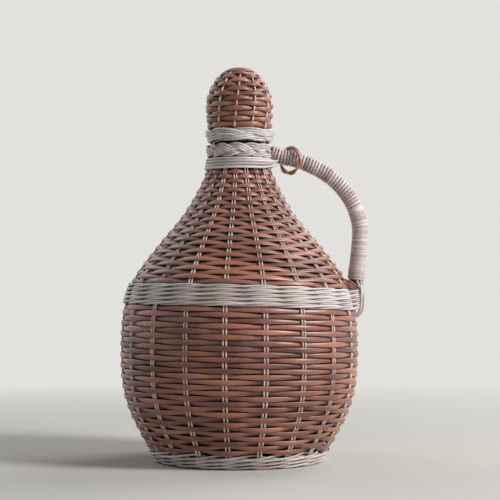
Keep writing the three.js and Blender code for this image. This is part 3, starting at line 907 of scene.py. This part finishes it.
class DEMIJOHN_OT_binding(bpy.types.Operator):
    """Bind the pale cane round the neck and let its cut ends run straight off"""
    bl_idname = "demijohn.binding"
    bl_label = "Neck binding"

    def execute(self, context):
        neck = context.scene.demijohn.neck
        lowest = JACKET.length_at_height(BINDING_LOWEST_Z)
        turns = neck.binding_rows - 1 + BINDING_LAST_SHARE
        path = []
        for step in range(round(turns * BINDING_STEPS) + 1):
            wound = step / BINDING_STEPS
            row = math.floor(wound)
            sunk = row + ease((wound - row - 1) / ROW_STEP_SHARE + 1)
            level = lowest + BINDING_PITCH * max(neck.binding_rows - 1 - sunk, 0)
            path.append(self.turn(neck, BINDING_END - (turns - wound) * TURN, level, 0.0))
        bm = bmesh.new()
        add_cane(bm, path + self.tail(path[-1], **BINDING_TAIL), ROUND_CANE)
        for row, end in enumerate(BINDING_LAPS, 1):
            lap = []
            level = lowest + row * BINDING_PITCH
            last = round(BINDING_LAP_SHARE * BINDING_STEPS)
            for step in range(last + 1):
                angle = BINDING_END - (1 - step / last) * BINDING_LAP_SHARE * TURN
                lap.append(self.turn(neck, angle, level, BINDING_LAP_OUT * ease(step / last)))
            add_cane(bm, lap + self.tail(lap[-1], **end), ROUND_CANE, starts_at=grain_at("laps", row))
        add_piece(context, "neck_binding_canes", bm, "bottle", "pale_cane", "neck_binding")
        return {"FINISHED"}

    def turn(self, neck, angle, length, lift):
        """The binding's cane at an angle and a length up the jacket, lifted off it."""
        centre, outward = on_surface(JACKET, angle, length, BINDING_REACH + lift)
        return centre, outward, neck.binding_thick, neck.binding_thick

    def tail(self, end, run, rise):
        """Where a cane runs straight off and rises to its pointed cut end."""
        centre, outward, thick, width = end
        onward = turned(run, 0, BINDING_END + TURN / 4)
        tail = []
        for share, size in BINDING_TIP:
            spot = centre + onward * share + Vector((0, 0, rise * share * share))
            tail.append((spot, outward, thick * size, width * size))
        return tail


class DEMIJOHN_OT_plaits(bpy.types.Operator):
    """Plait the borders of the neck and of the cap from strands of thin canes"""
    bl_idname = "demijohn.plaits"
    bl_label = "Plaits"

    def execute(self, context):
        neck = context.scene.demijohn.neck
        for name, body, plait in (("neck", "bottle", NECK_PLAIT), ("cap", "stopper", CAP_PLAIT)):
            for strand in range(PLAIT_STRANDS):
                path = self.strand_path(strand, neck.plait_thick, **plait)
                bm = bmesh.new()
                for cane in range(neck.plait_canes):
                    aside = (cane - (neck.plait_canes - 1) / 2) * neck.plait_thick
                    grain = strand + grain_at("plaits", cane)
                    add_cane(bm, path, ROUND_CANE, closed=True, starts_at=grain, aside=aside)
                label = f"{name}_plait_{strand + 1}"
                add_piece(context, f"{label}_canes", bm, body, "pale_cane", label)
        bm = bmesh.new()
        for cane, points in enumerate(CAP_PLAIT_ENDS):
            line = smooth(in_metres(points), CUT_CANE_STEPS)
            path = [(centre, Vector((*centre.xy, 0)), CUT_CANE_THICK, CUT_CANE_THICK) for centre in line]
            path = tapered(path, CUT_CANE_TIP, CUT_CANE_TIP_STEPS)
            add_cane(bm, path, ROUND_CANE, starts_at=grain_at("plait_ends", cane))
        add_piece(context, "cap_plait_ends", bm, "stopper", "pale_cane")
        return {"FINISHED"}

    def strand_path(self, strand, thick, radius, z, repeats, sway, depth):
        """A strand that sways up and down round the axis as it weaves in and out."""
        steps = repeats * PLAIT_STEPS
        path = []
        for step in range(steps):
            angle = TURN * step / steps
            phase = repeats * angle + TURN * strand / PLAIT_STRANDS
            reach = radius - depth * (math.sin(2 * phase) + PLAIT_BIAS * math.cos(phase))
            centre = turned(reach, z + sway * math.sin(phase), angle)
            path.append((centre, turned(1, 0, angle), thick, thick))
        return path


# Glass, base and stopper

def lathe(bm, outline):
    """Turns an outline of (radius, height) in metres round the axis."""
    verts = [bm.verts.new((radius, 0, height)) for radius, height in outline]
    edges = [bm.edges.new(pair) for pair in zip(verts, verts[1:])]
    bmesh.ops.spin(bm, geom=verts + edges, axis=(0, 0, 1), cent=(0, 0, 0), dvec=(0, 0, 0), angle=TURN,
                   steps=LATHE_STEPS, use_merge=True)
    bmesh.ops.remove_doubles(bm, verts=bm.verts, dist=MERGE_DISTANCE)


def inset_line(line, inset, from_z):
    """The points of a line moved inwards, from a height up."""
    shifted = []
    for length in line.lengths[1:]:
        point, normal = line.at(length)
        if point.y >= from_z:
            shifted.append(point - normal * inset)
    return shifted


class DEMIJOHN_OT_glass(bpy.types.Operator):
    """Blow the glass bottle with its wall, lip and pushed-in foot"""
    bl_idname = "demijohn.glass"
    bl_label = "Glass bottle"

    def execute(self, context):
        foot = smooth(in_metres(GLASS_FOOT), GLASS_FOOT_STEPS)
        outside = inset_line(JACKET, GLASS_INSET, GLASS_SIDE_FROM_Z)
        inside = inset_line(JACKET, GLASS_INSET + GLASS_WALL, GLASS_SIDE_FROM_Z)
        floor = [point + Vector((0, GLASS_WALL)) for point in foot]
        bm = bmesh.new()
        lathe(bm, [*foot, *outside, *in_metres(GLASS_LIP), *reversed(inside), *reversed(floor)])
        add_piece(context, "glass_flask", bm, "bottle", "bottle_glass", "glass_bottle")
        return {"FINISHED"}


BASE_ROWS = 12
BASE_SWING = 1.25 * MM
BASE_WEAVER_THICK = 1.2 * MM
SPOKE_THICK = 1.1 * MM
SPOKE_WIDTH = 2.2 * MM
SPOKE_STEPS = 12
EDGE_STRANDS = 2
EDGE_TWISTS = 24
EDGE_STEPS = 120
EDGE_RADIUS = 54.8 * MM
EDGE_Z = 2.35 * MM
EDGE_SPREAD = 0.95 * MM
EDGE_THICK = 2.4 * MM
HEART_RADII = (0.7 * MM, 6.3 * MM)
HEART_TURNS = 3
HEART_STEPS = 24
HEART_Z = 1.8 * MM
HEART_THICK = 1.4 * MM
HEART_WIDTH = 2.0 * MM


class DEMIJOHN_OT_base(bpy.types.Operator):
    """Weave the base from spokes and one brown cane, with a coil at its heart and a twist round its edge"""
    bl_idname = "demijohn.base"
    bl_label = "Woven base"

    def execute(self, context):
        spokes = context.scene.demijohn.jacket.stakes
        bm = bmesh.new()
        weave = Weave(BASE, 0.0, BASE.length, BASE_ROWS, spokes, 0, 0.0)
        add_cane(bm, weave.path(BASE_WEAVER_THICK, lambda length: BASE_SWING), FLAT_CANE)
        for strand in range(EDGE_STRANDS):
            path = self.edge_path(TURN * strand / EDGE_STRANDS)
            add_cane(bm, path, ROUND_CANE, closed=True, starts_at=grain_at("edge", strand))
        for spoke in range(spokes):
            angle = TURN * spoke / spokes
            path = [(*on_surface(BASE, angle, BASE.length * step / SPOKE_STEPS), SPOKE_THICK, SPOKE_WIDTH)
                    for step in range(SPOKE_STEPS + 1)]
            add_cane(bm, path, ROUND_CANE, starts_at=grain_at("spokes", spoke))
        add_cane(bm, self.heart_path(), FLAT_CANE)
        add_piece(context, "base_weave", bm, "bottle", "brown_cane", "woven_base")
        return {"FINISHED"}

    def edge_path(self, phase):
        """One strand of the twist round the edge."""
        path = []
        for step in range(EDGE_STEPS):
            angle = TURN * step / EDGE_STEPS
            twist = EDGE_TWISTS * angle + phase
            reach = EDGE_RADIUS + EDGE_SPREAD * math.cos(twist)
            centre = turned(reach, EDGE_Z + EDGE_SPREAD * math.sin(twist), angle)
            path.append((centre, turned(1, 0, angle), EDGE_THICK, EDGE_THICK))
        return path

    def heart_path(self):
        """The coil in the middle, from its inner end outwards."""
        path = []
        last = HEART_TURNS * HEART_STEPS
        for step in range(last + 1):
            centre = turned(mix(*HEART_RADII, step / last), HEART_Z, TURN * step / HEART_STEPS)
            path.append((centre, Vector((0, 0, -1)), HEART_THICK, HEART_WIDTH))
        return path


class DEMIJOHN_OT_cork(bpy.types.Operator):
    """Turn the cork plug with its domed head"""
    bl_idname = "demijohn.cork"
    bl_label = "Cork"

    def execute(self, context):
        head = inset_line(CAP, CORK_INSET, CORK_HEAD_FROM_Z)
        crown = Vector((0, head[-1].y))
        bm = bmesh.new()
        lathe(bm, [*in_metres(CORK_PLUG), *head, crown])
        add_piece(context, "cork_plug", bm, "stopper", "cork", "cork_stopper")
        return {"FINISHED"}


CAP_FIRST_STAKE = math.radians(-99)
# How far round the cap's stakes lean on their way up
CAP_LEAN = math.radians(16)
# How far from the end of the cap's line its stakes stop, and from both ends its weaver
CAP_STAKE_END = 2.4 * MM
CAP_WEAVER_INSET = 0.4 * MM
CAP_COILED_ROWS = 2.5
CAP_STEPS = 64


class DEMIJOHN_OT_cap(bpy.types.Operator):
    """Weave the cap over the cork: upright pale canes and one brown weaver, closed at the crown"""
    bl_idname = "demijohn.cap"
    bl_label = "Cap"

    def execute(self, context):
        stopper = context.scene.demijohn.stopper
        weaver_thick = context.scene.demijohn.jacket.weaver_thick
        step_angle = TURN / stopper.stakes
        back_stake = stopper.stakes // 2
        weave = Weave(CAP, CAP_WEAVER_INSET, CAP.length - CAP_WEAVER_INSET, stopper.rows, stopper.stakes,
                      back_stake, CAP_FIRST_STAKE + back_stake * step_angle, CAP_LEAN, CAP_COILED_ROWS)
        for stake in range(stopper.stakes):
            path = []
            for step in range(CAP_STEPS + 1):
                length = (CAP.length - CAP_STAKE_END) * step / CAP_STEPS
                angle = CAP_FIRST_STAKE + stake * step_angle + CAP_LEAN * length / CAP.length
                centre, outward = on_surface(CAP, angle, length, weave.bow(stake, length) * STAKE_BOW)
                path.append((centre, outward, stopper.stake_thick, stopper.stake_thick))
            bm = bmesh.new()
            add_cane(bm, path, ROUND_CANE, starts_at=grain_at("cap_stakes", stake))
            label = f"{stake + 1:02d}"
            add_piece(context, f"cap_stake_cane_{label}", bm, "stopper", "pale_cane", f"cap_stake_{label}",
                      finish="stake_finish")
        path = weave.path(weaver_thick, lambda length: swing_past(stopper.stake_thick, weaver_thick))
        bm = bmesh.new()
        add_cane(bm, path, FLAT_CANE)
        add_piece(context, "cap_weaver_cane", bm, "stopper", "brown_cane", "cap_weaver")
        return {"FINISHED"}


# Handle

ROD_CANES = 10
ROD_STEPS = 90
# The rod's thin tip, the stretch over which it thins, and how much of its size it has there
ROD_TIP = 8.5 * MM
ROD_TAPER = 7.5 * MM
ROD_TIP_SHARE = 0.36
# Where the winding starts along the handle, and how far from its tip it ends
WINDING_FROM = 0.3 * MM
WINDING_TO_TIP = 15.6 * MM
WINDING_STEPS = 18
# How far a turn strays, how fast that changes from turn to turn, and its place in the noise
WINDING_WANDER = 0.2 * MM
WINDING_WANDER_PACE = 0.33
WINDING_WANDER_SEED = (4.7, 0.2)
# The winding's stretches from the neck to the bend: turns, pitch and last width of the cane, in millimetres
WINDING_STRETCHES = ((2, 2.0, 1.85), (1, 2.8, 1.9), (4, 2.35, 2.0), (26, 2.4, 2.15))
WINDING_FIRST_WIDTH = 1.85 * MM
# The cane's width on the last stretch, as a share of its pitch there
WINDING_LAST_SHARE = 0.97
# How much of its thickness the cane has at the neck, and where it is full
WINDING_START_SHARE = 0.62
WINDING_SWELL = 20 * MM
# How much thicker the handle is at its ends, and the stretch over which that fades
NECK_FLARE = 0.14
FOOT_FLARE = 0.13
FLARE_LENGTH = 26 * MM
# Points that the pale canes at the handle's foot follow, in millimetres
LOOP_LINES = (
    ((92.3, 0, 136.5), (92.6, -0.2, 132), (91.8, -0.3, 128.2), (92.6, -0.6, 124), (92.95, -0.6, 119),
     (92.6, -0.6, 114), (91.2, -0.5, 110.2), (89, -0.4, 107.8), (86.2, -0.3, 106.9)),
    ((90.9, -3, 130.6), (90.9, -2.9, 127), (91.2, -2.5, 123.5), (91.2, -2.3, 118.5), (90.9, -2.2, 114),
     (89.8, -2, 110.9), (87.9, -1.7, 109), (85.4, -1.4, 108.4)),
)
GATHER_LINES = (
    ((87.4, 5.3, 136), (88.7, 4.3, 131.8), (91.3, 1.5, 127.4), (92, 0.9, 124), (92.1, 0.5, 121)),
    ((90.6, 4.3, 135.8), (90.8, 3.2, 131.6), (91.7, 1.2, 127.6), (92.1, 0.8, 124.4), (92.2, 0.5, 121)),
    ((92.5, 2.3, 135.6), (91.9, 1.7, 131.4), (91.9, 0.9, 128), (92.2, 0.6, 124.4), (92.2, 0.4, 121)),
)
# Points of the brown canes that tie the handle's foot to the stake behind it
TIE_LINES = (
    ((74.5, -8.3, 135.6), (81, -7.8, 133.7), (84.8, -7, 131.9), (88.2, -5.4, 129.4), (90, -3.6, 126.6),
     (90.2, -2.2, 124)),
    ((74.8, -8, 133.8), (81, -7.5, 131.8), (84.6, -6.6, 130), (87.6, -5, 127.6), (89, -3.8, 125),
     (89, -3.4, 122.6)),
    ((75.5, -7.6, 132), (81.3, -6.9, 130), (84.4, -6, 128.2), (86.9, -4.6, 126), (88, -3.6, 123.8),
     (88, -3.2, 122)),
    ((76.5, -7, 130.2), (81.8, -6.2, 128.2), (84.4, -5.3, 126.5), (86.2, -4.2, 124.4), (87, -3.4, 122.4)),
)
LOOP_THICK = 1.9 * MM
LOOP_TIP = 0.5
GATHER_THICK = 1.7 * MM
GATHER_TIP = 0.4
TIE_THICK = 2.0 * MM
TIE_TIP = 0.5
FOOT_TIP_STEPS = 3
FOOT_STEPS = 6
FOOT_OUTWARD = Vector((1, 0, 0.3))
RING_CENTRE = Vector((38.2, 0, 224.1)) * MM
RING_HALF_WIDTH = 11.7 * MM
RING_HALF_HEIGHT = 9.4 * MM
RING_TURN = math.radians(-54)
RING_ROUNDS = 2
RING_STEPS = 80
# How often the cane twists about the ring in one round, and how far off, in its own thicknesses
RING_TWISTS = 2.5
RING_SPREAD = 0.42


class DEMIJOHN_OT_rod(bpy.types.Operator):
    """Bundle the canes inside the handle, which draw together behind the middle band"""
    bl_idname = "demijohn.rod"
    bl_label = "Handle rod"

    def execute(self, context):
        handle = context.scene.demijohn.handle
        # The radius of canes that touch in a ring, as a share of the ring's radius and then of the rod's
        touching = math.sin(math.pi / ROD_CANES)
        outer_share = touching / (1 + touching)
        bm = bmesh.new()
        add_cane(bm, self.cane_path(handle, 0.0, 0.0, 1 - 2 * outer_share), ROUND_CANE)
        for cane in range(ROD_CANES):
            path = self.cane_path(handle, TURN * cane / ROD_CANES, 1 - outer_share, outer_share)
            add_cane(bm, path, ROUND_CANE, starts_at=grain_at("rod", cane))
        add_piece(context, "handle_rod_canes", bm, "bottle", "brown_cane", "handle_core")
        return {"FINISHED"}

    def cane_path(self, handle, turn, spread, half_thick):
        """A cane of the bundle, with its spread and half thickness as shares of the rod's radius."""
        path = []
        for step in range(ROD_STEPS + 1):
            length = HANDLE.length * step / ROD_STEPS
            centre, outward = round_handle(length, turn)
            taper = mix(ROD_TIP_SHARE, 1, ease((HANDLE.length - length - ROD_TIP) / ROD_TAPER))
            radius = handle.rod_radius * flare(length) * taper
            thick = 2 * half_thick * radius
            path.append((centre + outward * (spread * radius), outward, thick, thick))
        return path


def flare(length):
    """How much thicker the handle is at a length along it, because it widens towards both of its ends."""
    at_neck = 1 - ease(length / FLARE_LENGTH)
    at_foot = 1 - ease((HANDLE.length - WINDING_TO_TIP - length) / FLARE_LENGTH)
    return 1 + NECK_FLARE * at_neck + FOOT_FLARE * at_foot


class DEMIJOHN_OT_winding(bpy.types.Operator):
    """Wind the thin cane along the handle, loosely beside the neck and closely from there on"""
    bl_idname = "demijohn.winding"
    bl_label = "Handle winding"

    def execute(self, context):
        handle = context.scene.demijohn.handle
        knots = [(0, WINDING_FROM, WINDING_FIRST_WIDTH)]
        for turns, pitch, width in WINDING_STRETCHES:
            knots.append((knots[-1][0] + turns, knots[-1][1] + turns * pitch * MM, width * MM))
        turns, length, _ = knots[-1]
        last_pitch = (HANDLE.length - WINDING_TO_TIP - length) / (handle.winding_turns - turns)
        knots.append((handle.winding_turns, HANDLE.length - WINDING_TO_TIP, WINDING_LAST_SHARE * last_pitch))
        path = []
        for (turns, *start), (next_turns, *end) in zip(knots, knots[1:]):
            steps = (next_turns - turns) * WINDING_STEPS
            for step in range(steps):
                length, width = (mix(*pair, step / steps) for pair in zip(start, end))
                path.append(self.spot(handle, turns + step / WINDING_STEPS, length, width))
        bm = bmesh.new()
        add_cane(bm, path, FLAT_CANE)
        add_piece(context, "handle_winding_cane", bm, "bottle", "pale_cane", "handle_winding",
                  finish="winding_finish")
        return {"FINISHED"}

    def spot(self, handle, turns, length, width):
        """The winding's place after some turns, at a length along the handle."""
        wander = WINDING_WANDER * noise.noise(Vector((turns * WINDING_WANDER_PACE, *WINDING_WANDER_SEED)))
        centre, outward = round_handle(length + wander, TURN * turns)
        thick = handle.winding_thick * mix(WINDING_START_SHARE, 1, ease(length / WINDING_SWELL))
        radius = handle.rod_radius * flare(length) + thick / 2
        return centre + outward * radius, outward, thick, width


class DEMIJOHN_OT_lashing(bpy.types.Operator):
    """Gather the canes under the winding into the loop that ties the handle's foot to the jacket"""
    bl_idname = "demijohn.lashing"
    bl_label = "Handle lashing"

    def execute(self, context):
        bm = bmesh.new()
        for cane, line in enumerate(LOOP_LINES):
            self.add_foot_cane(bm, line, LOOP_THICK, LOOP_TIP, grain_at("loops", cane))
        for cane, line in enumerate(GATHER_LINES):
            for side in (-1, 1):
                one_side = [(x, side * y, z) for x, y, z in line]
                grain = grain_at("gather", cane) + grain_at("gather_sides", side)
                self.add_foot_cane(bm, one_side, GATHER_THICK, GATHER_TIP, grain)
        add_piece(context, "handle_lashing_canes", bm, "bottle", "pale_cane", "handle_lashing")
        bm = bmesh.new()
        for cane, line in enumerate(TIE_LINES):
            self.add_foot_cane(bm, line, TIE_THICK, TIE_TIP, grain_at("ties", cane))
        add_piece(context, "handle_tie_canes", bm, "bottle", "brown_cane")
        return {"FINISHED"}

    def add_foot_cane(self, bm, points, thick, tip, grain):
        """Adds a cane with thin ends through points at the handle's foot, given in millimetres."""
        path = [(centre, FOOT_OUTWARD, thick, thick) for centre in smooth(in_metres(points), FOOT_STEPS)]
        add_cane(bm, tapered(path, tip, FOOT_TIP_STEPS), ROUND_CANE, starts_at=grain)


class DEMIJOHN_OT_ring(bpy.types.Operator):
    """Twist the loose ring from one tan cane that goes round twice"""
    bl_idname = "demijohn.ring"
    bl_label = "Loose ring"

    def execute(self, context):
        thick = context.scene.demijohn.handle.ring_thick
        wide = turned(1, 0, RING_TURN)
        up = Vector((0, 0, 1))
        through = wide.cross(up)
        path = []
        for step in range(RING_ROUNDS * RING_STEPS):
            turn = TURN * step / RING_STEPS
            reach = wide * (RING_HALF_WIDTH * math.cos(turn)) + up * (RING_HALF_HEIGHT * math.sin(turn))
            twist = RING_TWISTS * turn
            outward = reach.normalized() * math.cos(twist) + through * math.sin(twist)
            path.append((RING_CENTRE + reach + outward * (RING_SPREAD * thick), outward, thick, thick))
        bm = bmesh.new()
        add_cane(bm, path, ROUND_CANE, closed=True)
        add_piece(context, "ring_cane", bm, "ring", "tan_cane", "handle_ring")
        return {"FINISHED"}


# Stage

CAMERA_AT = Vector((0.008, -1.1, 0.131))
CAMERA_LOOKS_AT = Vector((0.008, 0.0, 0.157))
# How wide the picture is at the demijohn, in metres, and the camera's sensor, in millimetres
PICTURE_WIDTH = 0.375
SENSOR = 36.0
FLOOR_RADIUS = 6.0
FLOOR_SEGMENTS = 128
FLOOR_GRAIN = 9.0
FLOOR_GRAIN_SHARE = 0.4
FLOOR_ROUGHNESS = 0.7
FLOOR_GRAIN_ROUGHNESS = 0.2
# Where the floor starts to fade into the backdrop, as a squared distance, and how fast it does
FLOOR_FADE_FROM = 0.08
FLOOR_FADE = 1.6
# Each lamp's name, place and width in metres, and its power in watts
LAMPS = (
    ("key_light", (1.5, -0.75, 1.0), 0.6, 30.0),
    ("back_light", (0.9, 0.9, 1.3), 1.2, 10.5),
    ("fill_light", (-1.2, 0.9, 1.2), 1.2, 5.0),
)
LAMPS_AIM_AT = Vector((0, 0, 0.13))
WORLD_LIGHT = 0.17


class DEMIJOHN_OT_stage(bpy.types.Operator):
    """Set the pale floor, the soft studio light and the camera"""
    bl_idname = "demijohn.stage"
    bl_label = "Stage"

    def execute(self, context):
        tones = context.scene.demijohn.colours
        self.add_floor(context, tones)
        self.light_world(context.scene, tones)
        for name, place, size, power in LAMPS:
            lamp = bpy.data.lights.new(name, "AREA")
            lamp.shape = "DISK"
            lamp.size = size
            lamp.energy = power
            self.aim(context, bpy.data.objects.new(name, lamp), Vector(place), LAMPS_AIM_AT)
        camera = bpy.data.cameras.new("photo_camera")
        camera.sensor_width = SENSOR
        camera.lens = SENSOR * (CAMERA_LOOKS_AT - CAMERA_AT).length / PICTURE_WIDTH
        viewer = bpy.data.objects.new("photo_camera", camera)
        context.scene.camera = self.aim(context, viewer, CAMERA_AT, CAMERA_LOOKS_AT)
        context.scene.view_settings.view_transform = "Standard"
        return {"FINISHED"}

    def aim(self, context, thing, place, target):
        """Puts a lamp or the camera in its place, turned to a target."""
        context.scene.collection.objects.link(thing)
        thing.location = place
        thing.rotation_euler = (target - place).to_track_quat("-Z", "Y").to_euler()
        return thing

    def add_floor(self, context, tones):
        """Lays the round floor, which fades into the backdrop."""
        bm = bmesh.new()
        bmesh.ops.create_circle(bm, cap_ends=True, segments=FLOOR_SEGMENTS, radius=FLOOR_RADIUS)
        bmesh.ops.translate(bm, verts=bm.verts, vec=(0, 0, CAD_LOW.z))
        mesh = bpy.data.meshes.new("floor")
        bm.to_mesh(mesh)
        bm.free()
        finish = Finish("floor_finish", {"Specular IOR Level": 0.0})
        place = finish.place()
        grain = finish.noise(place, FLOOR_GRAIN, detail=3.0)
        finish.shade(
            Base_Color=finish.blend(tones.floor, tones.backdrop, grain * FLOOR_GRAIN_SHARE),
            Roughness=FLOOR_ROUGHNESS + grain * FLOOR_GRAIN_ROUGHNESS,
        )
        x, y, _ = finish.split(place)
        far = ((x * x + y * y - FLOOR_FADE_FROM) * FLOOR_FADE).clamped()
        glow = finish.node("ShaderNodeEmission", None, {"Color": tones.backdrop, "Strength": 1.0})
        share = far * finish.shown_directly()
        faded = finish.mix_shaders(finish.shader.outputs["BSDF"], glow.outputs["Emission"], share)
        finish.feed(finish.output.inputs["Surface"], faded)
        mesh.materials.append(finish.material)
        floor = bpy.data.objects.new("floor", mesh)
        context.scene.collection.objects.link(floor)

    def light_world(self, scene, tones):
        """Lights everything softly from all round, and shows the backdrop behind it."""
        scene.world = bpy.data.worlds.new("studio")
        scene.world.use_nodes = True
        graph = Graph(scene.world.node_tree)
        light = graph.tree.nodes["Background"]
        graph.feed(light.inputs["Color"], (1, 1, 1))
        graph.feed(light.inputs["Strength"], WORLD_LIGHT)
        backdrop = graph.node("ShaderNodeBackground", None, {"Color": tones.backdrop, "Strength": 1.0})
        shaders = [node.outputs["Background"] for node in (light, backdrop)]
        both = graph.mix_shaders(*shaders, graph.shown_directly())
        graph.feed(graph.tree.nodes["World Output"].inputs["Surface"], both)


BUILD_STEPS = (
    DEMIJOHN_OT_glass, DEMIJOHN_OT_base, DEMIJOHN_OT_stakes, DEMIJOHN_OT_weavers, DEMIJOHN_OT_bands,
    DEMIJOHN_OT_binding, DEMIJOHN_OT_plaits, DEMIJOHN_OT_cork, DEMIJOHN_OT_cap, DEMIJOHN_OT_rod,
    DEMIJOHN_OT_winding, DEMIJOHN_OT_lashing, DEMIJOHN_OT_ring, DEMIJOHN_OT_stage,
)


class DEMIJOHN_PT_build(bpy.types.Panel):
    """Steps that build the demijohn, and its settings"""
    bl_idname = "DEMIJOHN_PT_build"
    bl_label = "Wicker Demijohn"
    bl_space_type = "VIEW_3D"
    bl_region_type = "UI"
    bl_category = "Demijohn"

    def draw(self, context):
        for step in BUILD_STEPS:
            self.layout.operator(step.bl_idname)
        for title in DemijohnSettings.__annotations__:
            group = getattr(context.scene.demijohn, title)
            box = self.layout.box()
            for name in group.__annotations__:
                box.prop(group, name)


CLASSES = (
    DemijohnJacket, DemijohnNeck, DemijohnStopper, DemijohnHandle, DemijohnColours, DemijohnSettings,
    *BUILD_STEPS, DEMIJOHN_PT_build,
)


def register():
    for item in CLASSES:
        bpy.utils.register_class(item)
    bpy.types.Scene.demijohn = PointerProperty(type=DemijohnSettings)


def unregister():
    del bpy.types.Scene.demijohn
    for item in reversed(CLASSES):
        bpy.utils.unregister_class(item)


def main():
    """Builds the whole demijohn."""
    register()
    for step in BUILD_STEPS:
        group, name = step.bl_idname.split(".")
        getattr(getattr(bpy.ops, group), name)()


if __name__ == "__main__":
    main()
